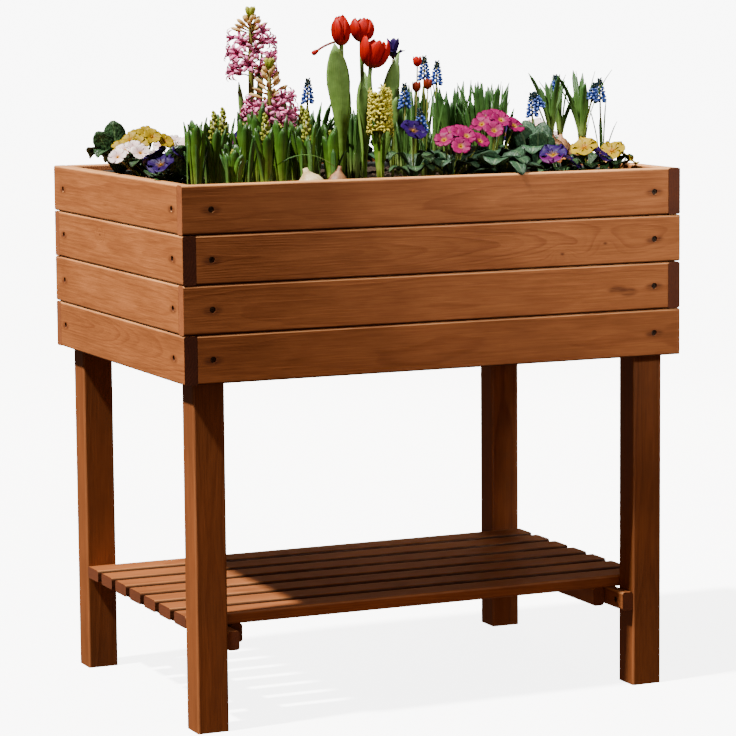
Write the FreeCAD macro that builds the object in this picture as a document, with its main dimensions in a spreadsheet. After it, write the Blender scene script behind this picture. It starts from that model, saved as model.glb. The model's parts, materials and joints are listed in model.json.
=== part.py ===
import FreeCAD, Part
import math
import os
import Sketcher

# A planting box on four legs with a lift-out slatted shelf. The origin is on the ground at the
# middle of the footprint. X runs along the length, -Y is the front and Z is up. Millimetres.

Vector = FreeCAD.Vector

SIZES = {
    # Whole object
    "length": 800,
    "depth": 570,
    "box_bottom": 510,
    # Wall boards, laid in courses with open seams and butt joints
    "board_high": 70,
    "board_thick": 20,
    "course_gap": 1,
    "butt_gap": 0.5,
    "board_round": 3,
    # Legs, in the inner corners of the box
    "leg_wide": 48,
    "leg_deep": 46,
    "leg_drop": 20,
    "leg_round": 3,
    # Shelf, and the rails on the legs that it rests on
    "rail_thick": 18,
    "rail_high": 28,
    "rail_top": 146,
    "rail_setback": 1,
    "shelf_lift_gap": 0.3,
    "slat_wide": 48,
    "slat_thick": 18,
    "slat_end_gap": 0.5,
    "slat_leg_gap": 1,
    "batten_rail_gap": 6,
    "batten_setback": 4,
    "shelf_round": 4,
    # Floor of the box
    "bearer_thick": 20,
    "bearer_high": 40,
    "floor_wide": 70,
    "floor_thick": 16,
    "floor_end_gap": 1,
    "floor_round": 2,
    # Liner and soil
    "liner_gap": 0.5,
    "liner_thick": 2,
    "liner_drop": 10,
    "soil_drop": 20,
    # Countersunk screws, all of one size
    "screw_long": 35,
    "screw_shank": 4.5,
    "screw_head": 9,
    "screw_point": 5,
    "socket_wide": 3,
    "socket_deep": 1.8,
    "hole_shank": 4.6,
    "hole_head": 9.2,
    "hole_end_gap": 1,
    "wall_sink": 2.5,
    "hidden_sink": 0.5,
    "shelf_sink": 8,
}

COURSES = 4
SLATS = 7
FLOOR_BOARDS = 7

# Often used places, as expressions on the sheet
HALF_LENGTH = "sizes.length / 2"
HALF_DEPTH = "sizes.depth / 2"
COURSE_PITCH = "(sizes.board_high + sizes.course_gap)"
RIM = f"(sizes.box_bottom + {COURSES} * {COURSE_PITCH} - sizes.course_gap)"
INSIDE_LENGTH = "(sizes.length - 2 * sizes.board_thick)"
INSIDE_DEPTH = "(sizes.depth - 2 * sizes.board_thick)"
BETWEEN_LEGS_X = f"({INSIDE_LENGTH} - 2 * sizes.leg_wide)"
BETWEEN_LEGS_Y = f"({INSIDE_DEPTH} - 2 * sizes.leg_deep)"
LINER_BOTTOM = "(sizes.box_bottom + sizes.bearer_high + sizes.floor_thick)"
SHELF_BOTTOM = "(sizes.rail_top + sizes.shelf_lift_gap)"
BATTEN_BOTTOM = f"({SHELF_BOTTOM} - sizes.rail_high)"

doc = FreeCAD.newDocument("raised_planter")
sheet = doc.addObject("Spreadsheet::Sheet", "sizes")
pieces = {}


def fill_sheet():
    for row, (alias, number) in enumerate(SIZES.items(), start=1):
        sheet.set(f"A{row}", alias)
        sheet.set(f"B{row}", str(number))
        sheet.setAlias(f"B{row}", alias)
    doc.recompute()


def value(expression):
    """The number, in millimetres, that an expression on the sheet stands for now."""
    return float(sheet.evalExpression(expression.replace("sizes.", "")))


def keep(name, piece):
    piece.Label = name
    pieces[name] = piece
    return piece


def place(piece, x, y, z, turn=0):
    """Bind a piece's place to the sheet, after a turn about Z in degrees."""
    piece.Placement = FreeCAD.Placement(Vector(), FreeCAD.Rotation(Vector(0, 0, 1), turn))
    for axis, expression in zip("xyz", (x, y, z)):
        piece.setExpression(f"Placement.Base.{axis}", expression)


# ---------------------------------------------------------------- timber

def new_sketch(body, name, role, offset=None):
    """A sketch on one of the body's own origin planes, moved along its normal by an offset."""
    sketch = body.newObject("Sketcher::SketchObject", name)
    plane = next(f for f in body.Origin.OriginFeatures if f.Role == role)
    sketch.AttachmentSupport = [(plane, "")]
    sketch.MapMode = "FlatFace"
    if offset:
        sketch.setExpression("AttachmentOffset.Base.z", offset)
    return sketch


def bind(sketch, constraint, name, expression):
    index = sketch.addConstraint(constraint)
    sketch.renameConstraint(index, name)
    sketch.setExpression(f"Constraints.{name}", expression)


def timber(name, role, width, height, run, rounding):
    """A straight length of planed timber: a rectangle on an origin plane, its corner at the
    origin, run out square to the plane, with its long edges rounded."""
    body = doc.addObject("PartDesign::Body", name + "_body")
    section = new_sketch(body, name + "_section", role)
    corners = [Vector(0, 0, 0), Vector(1, 0, 0), Vector(1, 1, 0), Vector(0, 1, 0)]
    for i in range(4):
        section.addGeometry(Part.LineSegment(corners[i], corners[(i + 1) % 4]))
    for i in range(4):
        section.addConstraint(Sketcher.Constraint("Coincident", i, 2, (i + 1) % 4, 1))
    for i in (0, 2):
        section.addConstraint(Sketcher.Constraint("Horizontal", i))
        section.addConstraint(Sketcher.Constraint("Vertical", i + 1))
    section.addConstraint(Sketcher.Constraint("Coincident", 0, 1, -1, 1))
    bind(section, Sketcher.Constraint("Distance", 0, 1.0), "width", width)
    bind(section, Sketcher.Constraint("Distance", 1, 1.0), "height", height)

    pad = body.newObject("PartDesign::Pad", name + "_run")
    pad.Profile = section
    pad.setExpression("Length", run)
    doc.recompute()

    length = value(run)
    long_edges = [
        f"Edge{i}" for i, edge in enumerate(pad.Shape.Edges, start=1)
        if abs(edge.Length - length) < 0.001
    ]
    fillet = body.newObject("PartDesign::Fillet", name + "_rounding")
    fillet.Base = (pad, long_edges)
    fillet.setExpression("Radius", rounding)
    doc.recompute()
    return keep(name, body)


def drill(body, role, points, sink=None, deep=None, offset=None, turned=False):
    """Screw holes in a body, at points that are pairs of expressions on an origin plane. With a
    sink they go through, and the mouth takes the head that far under the face. With a depth they
    are blind pilot holes."""
    number = len(body.Group)
    places = new_sketch(body, f"{body.Label}_places_{number}", role, offset)
    for i, (across, up) in enumerate(points):
        places.addGeometry(Part.Circle(Vector(10 * i, 0, 0), Vector(0, 0, 1), 1))
        places.addConstraint(Sketcher.Constraint("Diameter", i, 1.0))
        bind(places, Sketcher.Constraint("DistanceX", -1, 1, i, 3, 1.0), f"across_{i}", across)
        bind(places, Sketcher.Constraint("DistanceY", -1, 1, i, 3, 1.0), f"up_{i}", up)
    doc.recompute()

    volume_before = body.Shape.Volume
    hole = body.newObject("PartDesign::Hole", f"{body.Label}_holes_{number}")
    hole.Profile = places
    doc.recompute()
    hole.ThreadType = "None"
    hole.DrillPoint = "Flat"
    hole.Reversed = turned
    hole.setExpression("Diameter", "sizes.hole_shank")
    if sink:
        hole.DepthType = "ThroughAll"
        hole.HoleCutType = "Counterdrill"
        hole.HoleCutCustomValues = True
        hole.HoleCutCountersinkAngle = 90
        hole.setExpression("HoleCutDiameter", "sizes.hole_head")
        hole.setExpression("HoleCutDepth", sink)
    else:
        hole.DepthType = "Dimension"
        hole.setExpression("Depth", deep)
    doc.recompute()
    section = math.pi * value("sizes.hole_shank") ** 2 / 4
    least_depth = value("sizes.screw_head")
    if volume_before - body.Shape.Volume < len(points) * section * least_depth:
        raise RuntimeError(f"{body.Label}: its screw holes cut nothing")


def pilot_depth(sink, through):
    """How deep a pilot hole is, for a screw that first goes through another piece."""
    return f"{sink} + sizes.screw_long - {through} + sizes.hole_end_gap"


# ---------------------------------------------------------------- screws

def make_screw():
    """One countersunk screw, its head's flat face at the origin and its point along -Z."""
    head = doc.addObject("Part::Cone", "screw_head")
    head.setExpression("Radius1", "sizes.screw_shank / 2")
    head.setExpression("Radius2", "sizes.screw_head / 2")
    head.setExpression("Height", "(sizes.screw_head - sizes.screw_shank) / 2")
    head.setExpression("Placement.Base.z", "-(sizes.screw_head - sizes.screw_shank) / 2")

    shank = doc.addObject("Part::Cylinder", "screw_shank")
    shank.setExpression("Radius", "sizes.screw_shank / 2")
    shank.setExpression(
        "Height",
        "sizes.screw_long - sizes.screw_point - (sizes.screw_head - sizes.screw_shank) / 2")
    shank.setExpression("Placement.Base.z", "sizes.screw_point - sizes.screw_long")

    point = doc.addObject("Part::Cone", "screw_point")
    point.Radius1 = 0
    point.setExpression("Radius2", "sizes.screw_shank / 2")
    point.setExpression("Height", "sizes.screw_point")
    point.setExpression("Placement.Base.z", "-sizes.screw_long")

    blank = doc.addObject("Part::MultiFuse", "screw_blank")
    blank.Shapes = [head, shank, point]
    blank.Refine = True

    socket = doc.addObject("Part::Prism", "screw_socket")
    socket.Polygon = 6
    socket.setExpression("Circumradius", "sizes.socket_wide / 2")
    socket.setExpression("Height", "2 * sizes.socket_deep")
    socket.setExpression("Placement.Base.z", "-sizes.socket_deep")

    screw = doc.addObject("Part::Cut", "screw")
    screw.Base = blank
    screw.Tool = socket
    doc.recompute()
    return screw


def screw_group(name, screw, seats):
    """Separate screws in one group. A seat is the place of a head's face, as three expressions,
    and the direction that the head faces."""
    screws = []
    for x, y, z, facing in seats:
        turn = FreeCAD.Rotation(Vector(0, 0, 1), Vector(*facing))
        seat = FreeCAD.Placement(Vector(value(x), value(y), value(z)), turn)
        one = screw.Shape.copy()
        one.Placement = seat
        screws.append(one)
    group = doc.addObject("Part::Feature", name)
    group.Shape = Part.makeCompound(screws)
    group.Placement = FreeCAD.Placement()
    return keep(name, group)


# ---------------------------------------------------------------- box

LEG_MIDDLE_X = "(sizes.board_thick + sizes.leg_wide / 2)"
LEG_MIDDLE_Y = "(sizes.board_thick + sizes.leg_deep / 2)"


def course_bottom(course):
    """Courses count from 1 at the rim down to the lowest one."""
    return f"(sizes.box_bottom + {COURSES - course} * {COURSE_PITCH})"


def wall_board(side, course, along, leg_middle, turn):
    """A board that runs through at one corner and stops against its neighbour at the other. Its
    outer face is on the body's XZ plane, and X = 0 is the end on the left, seen from outside.
    All four boards of a course run through at the same hand, and the next course's at the
    other."""
    through_left = course % 2 == 1
    run = f"{along} - sizes.board_thick - sizes.butt_gap"
    board = timber(f"{side}_board_{course}", "YZ_Plane", "sizes.board_thick",
                   "sizes.board_high", run, "sizes.board_round")
    start = "0" if through_left else "(sizes.board_thick + sizes.butt_gap)"
    drill(board, "XZ_Plane", [
        (f"{leg_middle} - {start}", "sizes.board_high / 2"),
        (f"{along} - {leg_middle} - {start}", "sizes.board_high / 2"),
    ], sink="sizes.wall_sink")
    corner = {
        "front": (f"-{HALF_LENGTH} + {start}", f"-{HALF_DEPTH}"),
        "right": (HALF_LENGTH, f"-{HALF_DEPTH} + {start}"),
        "back": (f"{HALF_LENGTH} - {start}", HALF_DEPTH),
        "left": (f"-{HALF_LENGTH}", f"{HALF_DEPTH} - {start}"),
    }[side]
    place(board, *corner, course_bottom(course), turn)


def wall_screw_seats(side):
    """Where the heads sit on one wall: two in each course, over the middles of the legs."""
    reach_x = f"({HALF_LENGTH} - {LEG_MIDDLE_X})"
    reach_y = f"({HALF_DEPTH} - {LEG_MIDDLE_Y})"
    face_x = f"({HALF_LENGTH} - sizes.wall_sink)"
    face_y = f"({HALF_DEPTH} - sizes.wall_sink)"
    seats = []
    for course in range(1, COURSES + 1):
        z = f"{course_bottom(course)} + sizes.board_high / 2"
        for sign in ("-", ""):
            seats.append({
                "front": (sign + reach_x, "-" + face_y, z, (0, -1, 0)),
                "back": (sign + reach_x, face_y, z, (0, 1, 0)),
                "left": ("-" + face_x, sign + reach_y, z, (-1, 0, 0)),
                "right": (face_x, sign + reach_y, z, (1, 0, 0)),
            }[side])
    return seats


def make_walls(screw):
    sides = (
        ("front", "sizes.length", LEG_MIDDLE_X, 0),
        ("right", "sizes.depth", LEG_MIDDLE_Y, 90),
        ("back", "sizes.length", LEG_MIDDLE_X, 180),
        ("left", "sizes.depth", LEG_MIDDLE_Y, 270),
    )
    for side, along, leg_middle, turn in sides:
        for course in range(1, COURSES + 1):
            wall_board(side, course, along, leg_middle, turn)
        screw_group(f"{side}_wall_screws", screw, wall_screw_seats(side))


# ---------------------------------------------------------------- legs

BEARER_SCREW_HEIGHTS = ("sizes.bearer_high / 4", "3 * sizes.bearer_high / 4")


def make_legs():
    """The front left leg has its outer corner on the body's Z axis. The others mirror it."""
    leg = timber("front_left_leg", "XY_Plane", "sizes.leg_wide", "sizes.leg_deep",
                 f"{RIM} - sizes.leg_drop", "sizes.leg_round")
    middle_x = "sizes.leg_wide / 2"
    middle_y = "sizes.leg_deep / 2"
    wall_heights = [
        f"{course_bottom(course)} + sizes.board_high / 2" for course in range(1, COURSES + 1)
    ]
    wall_depth = pilot_depth("sizes.wall_sink", "sizes.board_thick")
    drill(leg, "XZ_Plane", [(middle_x, z) for z in wall_heights], deep=wall_depth)
    drill(leg, "YZ_Plane", [(middle_y, z) for z in wall_heights], deep=wall_depth, turned=True)
    drill(leg, "YZ_Plane", [(middle_y, "sizes.rail_top - sizes.rail_high / 2")],
          deep=pilot_depth("sizes.hidden_sink", "sizes.rail_thick"), offset="sizes.leg_wide")
    drill(leg, "YZ_Plane", [(middle_y, f"sizes.box_bottom + {up}") for up in BEARER_SCREW_HEIGHTS],
          deep=pilot_depth("sizes.hidden_sink", "sizes.bearer_thick"), offset="sizes.leg_wide")
    place(leg, f"-{HALF_LENGTH} + sizes.board_thick", f"-{HALF_DEPTH} + sizes.board_thick", "0")
    doc.recompute()
    mirror("front_right_leg", leg, Vector(1, 0, 0))
    back_left = mirror("back_left_leg", leg, Vector(0, 1, 0))
    mirror("back_right_leg", back_left, Vector(1, 0, 0))


def mirror(name, source, normal):
    """A mirror image of a piece across the object's middle plane with that normal."""
    image = doc.addObject("Part::Mirroring", name)
    image.Source = source
    image.Normal = normal
    doc.recompute()
    return keep(name, image)


# ---------------------------------------------------------------- floor of the box

BEARER_MIDDLE = f"({BETWEEN_LEGS_X} / 2 - sizes.bearer_thick / 2)"
FLOOR_GAP = f"(({INSIDE_DEPTH} - {FLOOR_BOARDS} * sizes.floor_wide) / {FLOOR_BOARDS + 1})"


def floor_middle(number):
    """The middle of a floor board across the box. Boards count from 1 at the front."""
    return (f"(-{INSIDE_DEPTH} / 2 + {number} * {FLOOR_GAP}"
            f" + ({number} - 0.5) * sizes.floor_wide)")


def make_bearers(screw):
    """On edge along the box's inner depth, each fastened to the inner faces of two legs. The
    face that carries the heads is on the body's XZ plane."""
    run = f"({INSIDE_DEPTH} - 2 * sizes.floor_end_gap)"
    left = timber("floor_bearer_left", "YZ_Plane", "sizes.bearer_thick", "sizes.bearer_high",
                  run, "sizes.floor_round")
    leg_middle = "(sizes.leg_deep / 2 - sizes.floor_end_gap)"
    drill(left, "XZ_Plane",
          [(x, up) for x in (leg_middle, f"{run} - {leg_middle}") for up in BEARER_SCREW_HEIGHTS],
          sink="sizes.hidden_sink")
    drill(left, "XY_Plane",
          [(f"{run} / 2 + {floor_middle(n)}", "sizes.bearer_thick / 2")
           for n in range(1, FLOOR_BOARDS + 1)],
          deep=pilot_depth("sizes.hidden_sink", "sizes.floor_thick"), offset="sizes.bearer_high")
    place(left, f"-{BETWEEN_LEGS_X} / 2 + sizes.bearer_thick", f"-{run} / 2", "sizes.box_bottom",
          90)
    doc.recompute()
    mirror("floor_bearer_right", left, Vector(1, 0, 0))

    face_x = f"({BETWEEN_LEGS_X} / 2 - sizes.bearer_thick + sizes.hidden_sink)"
    reach_y = f"({HALF_DEPTH} - {LEG_MIDDLE_Y})"
    seats = [
        (sign_x + face_x, sign_y + reach_y, f"sizes.box_bottom + {up}", facing)
        for sign_x, facing in (("-", (1, 0, 0)), ("", (-1, 0, 0)))
        for sign_y in ("-", "")
        for up in BEARER_SCREW_HEIGHTS
    ]
    screw_group("floor_bearer_screws", screw, seats)


def make_floor(screw):
    """Boards along the box on the bearers. The outermost two fit between the legs."""
    seats = []
    head_z = f"{LINER_BOTTOM} - sizes.hidden_sink"
    for number in range(1, FLOOR_BOARDS + 1):
        between_legs = number in (1, FLOOR_BOARDS)
        space = BETWEEN_LEGS_X if between_legs else INSIDE_LENGTH
        run = f"({space} - 2 * sizes.floor_end_gap)"
        board = timber(f"floor_board_{number}", "YZ_Plane", "sizes.floor_wide",
                       "sizes.floor_thick", run, "sizes.floor_round")
        middle_y = "sizes.floor_wide / 2"
        drill(board, "XY_Plane",
              [(f"{run} / 2 - {BEARER_MIDDLE}", middle_y),
               (f"{run} / 2 + {BEARER_MIDDLE}", middle_y)],
              sink="sizes.hidden_sink", offset="sizes.floor_thick")
        place(board, f"-{run} / 2", f"{floor_middle(number)} - {middle_y}",
              "sizes.box_bottom + sizes.bearer_high")
        for sign in ("-", ""):
            seats.append((sign + BEARER_MIDDLE, floor_middle(number), head_z, (0, 0, 1)))
    screw_group("floor_board_screws", screw, seats)


# ---------------------------------------------------------------- liner and soil

def cross_block(name, gap, bottom, top):
    """A block that fills the inside of the box around its four legs, a gap clear of them."""
    arms = []
    for arm, long_x, long_y in (("x", INSIDE_LENGTH, BETWEEN_LEGS_Y),
                                ("y", BETWEEN_LEGS_X, INSIDE_DEPTH)):
        box = doc.addObject("Part::Box", f"{name}_arm_{arm}")
        box.setExpression("Length", f"{long_x} - 2 * {gap}")
        box.setExpression("Width", f"{long_y} - 2 * {gap}")
        box.setExpression("Height", f"{top} - {bottom}")
        place(box, f"-{long_x} / 2 + {gap}", f"-{long_y} / 2 + {gap}", bottom)
        arms.append(box)
    block = doc.addObject("Part::MultiFuse", name)
    block.Shapes = arms
    block.Refine = True
    return block


def make_liner_and_soil():
    inner_gap = "(sizes.liner_gap + sizes.liner_thick)"
    inner_bottom = f"({LINER_BOTTOM} + sizes.liner_thick)"
    liner_top = f"({RIM} - sizes.liner_drop)"
    outside = cross_block("liner_outside", "sizes.liner_gap", LINER_BOTTOM, liner_top)
    inside = cross_block("liner_inside", inner_gap, inner_bottom, RIM)
    liner = doc.addObject("Part::Cut", "liner_sheet")
    liner.Base = outside
    liner.Tool = inside
    keep("liner", liner)
    keep("soil", cross_block("soil_block", inner_gap, inner_bottom, f"({RIM} - sizes.soil_drop)"))


# ---------------------------------------------------------------- shelf

SLAT_PITCH = (f"(({BETWEEN_LEGS_Y} - 2 * sizes.slat_leg_gap - sizes.slat_wide)"
              f" / {SLATS - 1})")
BATTEN_MIDDLE = (f"({BETWEEN_LEGS_X} / 2 - sizes.rail_thick - sizes.batten_rail_gap"
                 f" - sizes.rail_thick / 2)")


def slat_middle(number):
    """The middle of a slat across the shelf. Slats count from 1 at the front."""
    return f"(({number} - {(SLATS + 1) / 2}) * {SLAT_PITCH})"


def make_rails(screw):
    """Rails on the inner faces of the legs, front to back, that the shelf rests on."""
    run = f"({INSIDE_DEPTH} - 2 * sizes.rail_setback)"
    left = timber("shelf_rail_left", "YZ_Plane", "sizes.rail_thick", "sizes.rail_high", run,
                  "sizes.shelf_round")
    leg_middle = "(sizes.leg_deep / 2 - sizes.rail_setback)"
    middle_z = "sizes.rail_high / 2"
    drill(left, "XZ_Plane", [(leg_middle, middle_z), (f"{run} - {leg_middle}", middle_z)],
          sink="sizes.hidden_sink")
    place(left, f"-{BETWEEN_LEGS_X} / 2 + sizes.rail_thick", f"-{run} / 2",
          "sizes.rail_top - sizes.rail_high", 90)
    doc.recompute()
    mirror("shelf_rail_right", left, Vector(1, 0, 0))

    face_x = f"({BETWEEN_LEGS_X} / 2 - sizes.rail_thick + sizes.hidden_sink)"
    reach_y = f"({HALF_DEPTH} - {LEG_MIDDLE_Y})"
    seats = [
        (sign_x + face_x, sign_y + reach_y, f"sizes.rail_top - {middle_z}", facing)
        for sign_x, facing in (("-", (1, 0, 0)), ("", (-1, 0, 0)))
        for sign_y in ("-", "")
    ]
    screw_group("shelf_rail_screws", screw, seats)


def make_shelf(screw):
    """Slats along X between the front and the back legs, on two battens that drop between the
    rails. The screws go up through the battens, with their heads deep in them."""
    run = f"({INSIDE_LENGTH} - 2 * sizes.slat_end_gap)"
    for number in range(1, SLATS + 1):
        slat = timber(f"shelf_slat_{number}", "YZ_Plane", "sizes.slat_wide", "sizes.slat_thick",
                      run, "sizes.shelf_round")
        drill(slat, "XY_Plane",
              [(f"{run} / 2 - {BATTEN_MIDDLE}", "sizes.slat_wide / 2"),
               (f"{run} / 2 + {BATTEN_MIDDLE}", "sizes.slat_wide / 2")],
              deep=pilot_depth("sizes.shelf_sink", "sizes.rail_high"), turned=True)
        place(slat, f"-{run} / 2", f"{slat_middle(number)} - sizes.slat_wide / 2", SHELF_BOTTOM)

    batten_run = f"({BETWEEN_LEGS_Y} - 2 * sizes.batten_setback)"
    left = timber("shelf_batten_left", "YZ_Plane", "sizes.rail_thick", "sizes.rail_high",
                  batten_run, "sizes.shelf_round")
    drill(left, "XY_Plane",
          [(f"{batten_run} / 2 + {slat_middle(n)}", "sizes.rail_thick / 2")
           for n in range(1, SLATS + 1)],
          sink="sizes.shelf_sink", turned=True)
    place(left, f"-{BATTEN_MIDDLE} + sizes.rail_thick / 2", f"-{batten_run} / 2", BATTEN_BOTTOM, 90)
    doc.recompute()
    mirror("shelf_batten_right", left, Vector(1, 0, 0))

    seats = [
        (sign + BATTEN_MIDDLE, slat_middle(n), f"{BATTEN_BOTTOM} + sizes.shelf_sink", (0, 0, -1))
        for sign in ("-", "")
        for n in range(1, SLATS + 1)
    ]
    screw_group("shelf_screws", screw, seats)


# ---------------------------------------------------------------- planting

# Each kind of plant is a plain turned form: its outline as shares of a plant's radius and
# height, then the plants' places on the soil, as (x, y, radius, height).
PLANTING = {
    "hyacinth_shoots": (
        ((0.5, 0), (0.6, 0.5), (1, 0.8), (0.25, 1)),
        ((-342, -190, 13, 111), (-300, -232, 13, 74), (-249, -228, 13, 114),
         (-172, -198, 13, 115), (-306, -172, 13, 117), (-262, -178, 13, 116),
         (-206, -180, 13, 114), (-172, -160, 13, 105), (-274, -125, 13, 120),
         (-224, -130, 13, 128), (-146, -118, 13, 120), (-300, -70, 13, 100),
         (-256, -60, 13, 112), (-150, -40, 13, 118), (-104, -128, 13, 96)),
    ),
    "hyacinths": (
        ((0.5, 0), (0.45, 0.35), (1, 0.45), (1, 0.75), (0.3, 1)),
        ((-197, -45, 22, 268), (-190, -100, 22, 186), (-36, -155, 20, 145)),
    ),
    "tulips": (
        ((0.35, 0), (0.2, 0.7), (1, 0.82), (0.7, 1)),
        ((-54, -55, 20, 249), (-8, -35, 20, 245), (-8, -88, 20, 222)),
    ),
    "grape_hyacinths": (
        ((0.5, 0), (0.3, 0.75), (1, 0.8), (0.2, 1)),
        ((-127, -84, 10, 158), (14, -135, 10, 149), (94, -25, 10, 187), (125, 4, 10, 178),
         (48, -145, 10, 112), (240, -118, 10, 130), (350, -130, 10, 150)),
    ),
    "strap_leaves": (
        ((0.45, 0), (0.8, 0.6), (1, 1)),
        ((110, 62, 28, 143), (175, 42, 28, 149), (238, 50, 28, 144), (205, -22, 28, 147),
         (2, 42, 28, 121), (-76, 24, 28, 122)),
    ),
    "primroses": (
        ((0.4, 0), (0.85, 0.35), (1, 0.6), (0.6, 1)),
        ((60, -198, 36, 88), (135, -225, 36, 56), (150, -150, 38, 106), (222, -160, 26, 98),
         (-340, 145, 36, 95), (-338, 62, 38, 88), (-336, -16, 38, 80), (-250, 122, 38, 72),
         (-150, 134, 38, 70), (30, 142, 38, 72), (216, 134, 38, 74), (300, -38, 38, 76)),
    ),
    "pansies": (
        ((0.4, 0), (0.85, 0.35), (1, 0.6), (0.6, 1)),
        ((-10, -215, 32, 92), (230, -218, 30, 60), (290, -195, 30, 72), (345, -180, 26, 62),
         (-340, -90, 32, 66), (-348, -142, 18, 68), (-252, 30, 38, 64), (-160, 48, 38, 66),
         (-58, 112, 38, 66), (120, 146, 38, 64), (304, 136, 38, 66), (328, 46, 38, 68)),
    ),
    "bulbs": (
        ((0.4, 0), (1, 0.4), (0.25, 0.8), (0.15, 1)),
        ((-180, -243, 16, 36), (-146, -240, 14, 32)),
    ),
    "bulb_clump": (
        ((0.6, 0), (1, 0.25), (0.5, 0.45), (0.8, 1)),
        ((288, -130, 34, 165),),
    ),
}


def make_planting():
    ground = value(f"{RIM} - sizes.soil_drop")
    for name, (outline, places) in PLANTING.items():
        plants = []
        for x, y, radius, height in places:
            sides = [Vector(share * radius, 0, up * height) for share, up in outline]
            ring = [Vector(0, 0, 0), *sides, Vector(0, 0, height), Vector(0, 0, 0)]
            plant = Part.Face(Part.makePolygon(ring)).revolve(Vector(), Vector(0, 0, 1), 360)
            plant.Placement = FreeCAD.Placement(Vector(x, y, ground), FreeCAD.Rotation())
            plants.append(plant)
        group = doc.addObject("Part::Feature", name)
        group.Shape = Part.makeCompound(plants)
        group.Placement = FreeCAD.Placement()
        keep(name, group)


# ---------------------------------------------------------------- build, check and write

def build():
    fill_sheet()
    screw = make_screw()
    make_walls(screw)
    make_legs()
    make_bearers(screw)
    make_floor(screw)
    make_liner_and_soil()
    make_rails(screw)
    make_shelf(screw)
    make_planting()
    doc.recompute()


def check():
    for item in doc.Objects:
        if {"Invalid", "Error"} & set(item.State):
            raise RuntimeError(f"{item.Label}: {item.State}")
    for name, piece in pieces.items():
        if piece.Shape.isNull() or not piece.Shape.isValid():
            raise RuntimeError(f"{name}: its shape is null or not valid")


def write():
    os.makedirs("parts", exist_ok=True)
    for name, piece in pieces.items():
        piece.Shape.exportStep(f"parts/{name}.step")


build()
check()
write()
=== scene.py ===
import json
import math
import random

import bmesh
import bpy
import numpy as np
from mathutils import Matrix, Vector, noise


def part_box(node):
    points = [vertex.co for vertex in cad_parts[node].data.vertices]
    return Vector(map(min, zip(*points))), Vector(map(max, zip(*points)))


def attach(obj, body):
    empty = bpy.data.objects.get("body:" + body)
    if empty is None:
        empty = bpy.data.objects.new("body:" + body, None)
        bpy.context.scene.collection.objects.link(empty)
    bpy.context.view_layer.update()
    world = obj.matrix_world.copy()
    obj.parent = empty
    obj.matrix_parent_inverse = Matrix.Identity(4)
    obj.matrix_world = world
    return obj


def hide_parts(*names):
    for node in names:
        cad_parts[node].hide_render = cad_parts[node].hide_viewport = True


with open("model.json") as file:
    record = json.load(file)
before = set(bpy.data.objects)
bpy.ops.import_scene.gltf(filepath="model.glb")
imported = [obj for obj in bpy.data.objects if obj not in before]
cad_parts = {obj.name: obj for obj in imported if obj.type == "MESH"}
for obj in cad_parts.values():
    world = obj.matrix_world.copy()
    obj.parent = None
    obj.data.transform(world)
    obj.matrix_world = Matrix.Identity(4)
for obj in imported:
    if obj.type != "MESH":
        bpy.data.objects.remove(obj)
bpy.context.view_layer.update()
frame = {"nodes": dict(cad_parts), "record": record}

NODES = frame["nodes"]
SLOT_OF = {part["node"]: part["material_slot"] for part in frame["record"]["subparts"]}
ROUND = 2 * math.pi
SMOOTH = "SMOOTHSTEP"


# ---------------------------------------------------------------- camera, light and floor

def make_camera():
    data = bpy.data.cameras.new("camera")
    data.sensor_width = 36
    data.lens = 150.7
    data.clip_start = 0.1
    data.clip_end = 50
    camera = bpy.data.objects.new("camera", data)
    yaw, pitch, roll = (math.radians(angle) for angle in (23.91, 7.138, -0.5))
    ahead = Vector((math.sin(yaw) * math.cos(pitch), math.cos(yaw) * math.cos(pitch), -math.sin(pitch)))
    side = Vector((math.cos(yaw), -math.sin(yaw), 0))
    up = side.cross(ahead)
    right = side * math.cos(roll) + up * math.sin(roll)
    above = up * math.cos(roll) - side * math.sin(roll)
    turn = Matrix((right, above, -ahead)).transposed().to_4x4()
    camera.matrix_world = Matrix.Translation((-1.9111, -4.3322, 1.0737)) @ turn
    bpy.context.scene.collection.objects.link(camera)
    bpy.context.scene.camera = camera


def make_light(kind, name, place, aim, energy, tint=(1, 1, 1), **settings):
    """A light at place that shines towards aim."""
    data = bpy.data.lights.new(name, kind)
    data.energy = energy
    data.color = tint
    for setting, value in settings.items():
        setattr(data, setting, value)
    light = bpy.data.objects.new(name, data)
    place, aim = Vector(place), Vector(aim)
    turn = (aim - place).to_track_quat("-Z", "Y").to_matrix().to_4x4()
    light.matrix_world = Matrix.Translation(place) @ turn
    bpy.context.scene.collection.objects.link(light)
    return light


def make_lights():
    make_light("SUN", "key", (-1.95, -0.22, 3.3), (0, 0, 0), 13.6, (1, 0.98, 0.94), angle=math.radians(3.2))
    make_light("AREA", "overhead", (1.2, -1.2, 3.4), (0.1, 0, 0.6), 14, shape="DISK", size=2.0)
    make_light("SPOT", "front", (0.58, -2.9, 2.2), (0.42, -0.285, 1.08), 500, (1, 1, 0.98),
               spot_size=math.radians(27), spot_blend=1.0, shadow_soft_size=0.25)
    make_light("SPOT", "bounce", (-1.1, -2.3, 0.15), (-0.02, -0.2, -0.02), 75, (1, 0.58, 0.38),
               spot_size=math.radians(30), spot_blend=1.0, shadow_soft_size=0.4)
    behind = make_light("AREA", "behind", (1.6, 2.8, 1.7), (0, 0, 0.5), 45, (1, 0.85, 0.7),
                        shape="DISK", size=1.6)
    behind.visible_glossy = False


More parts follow.
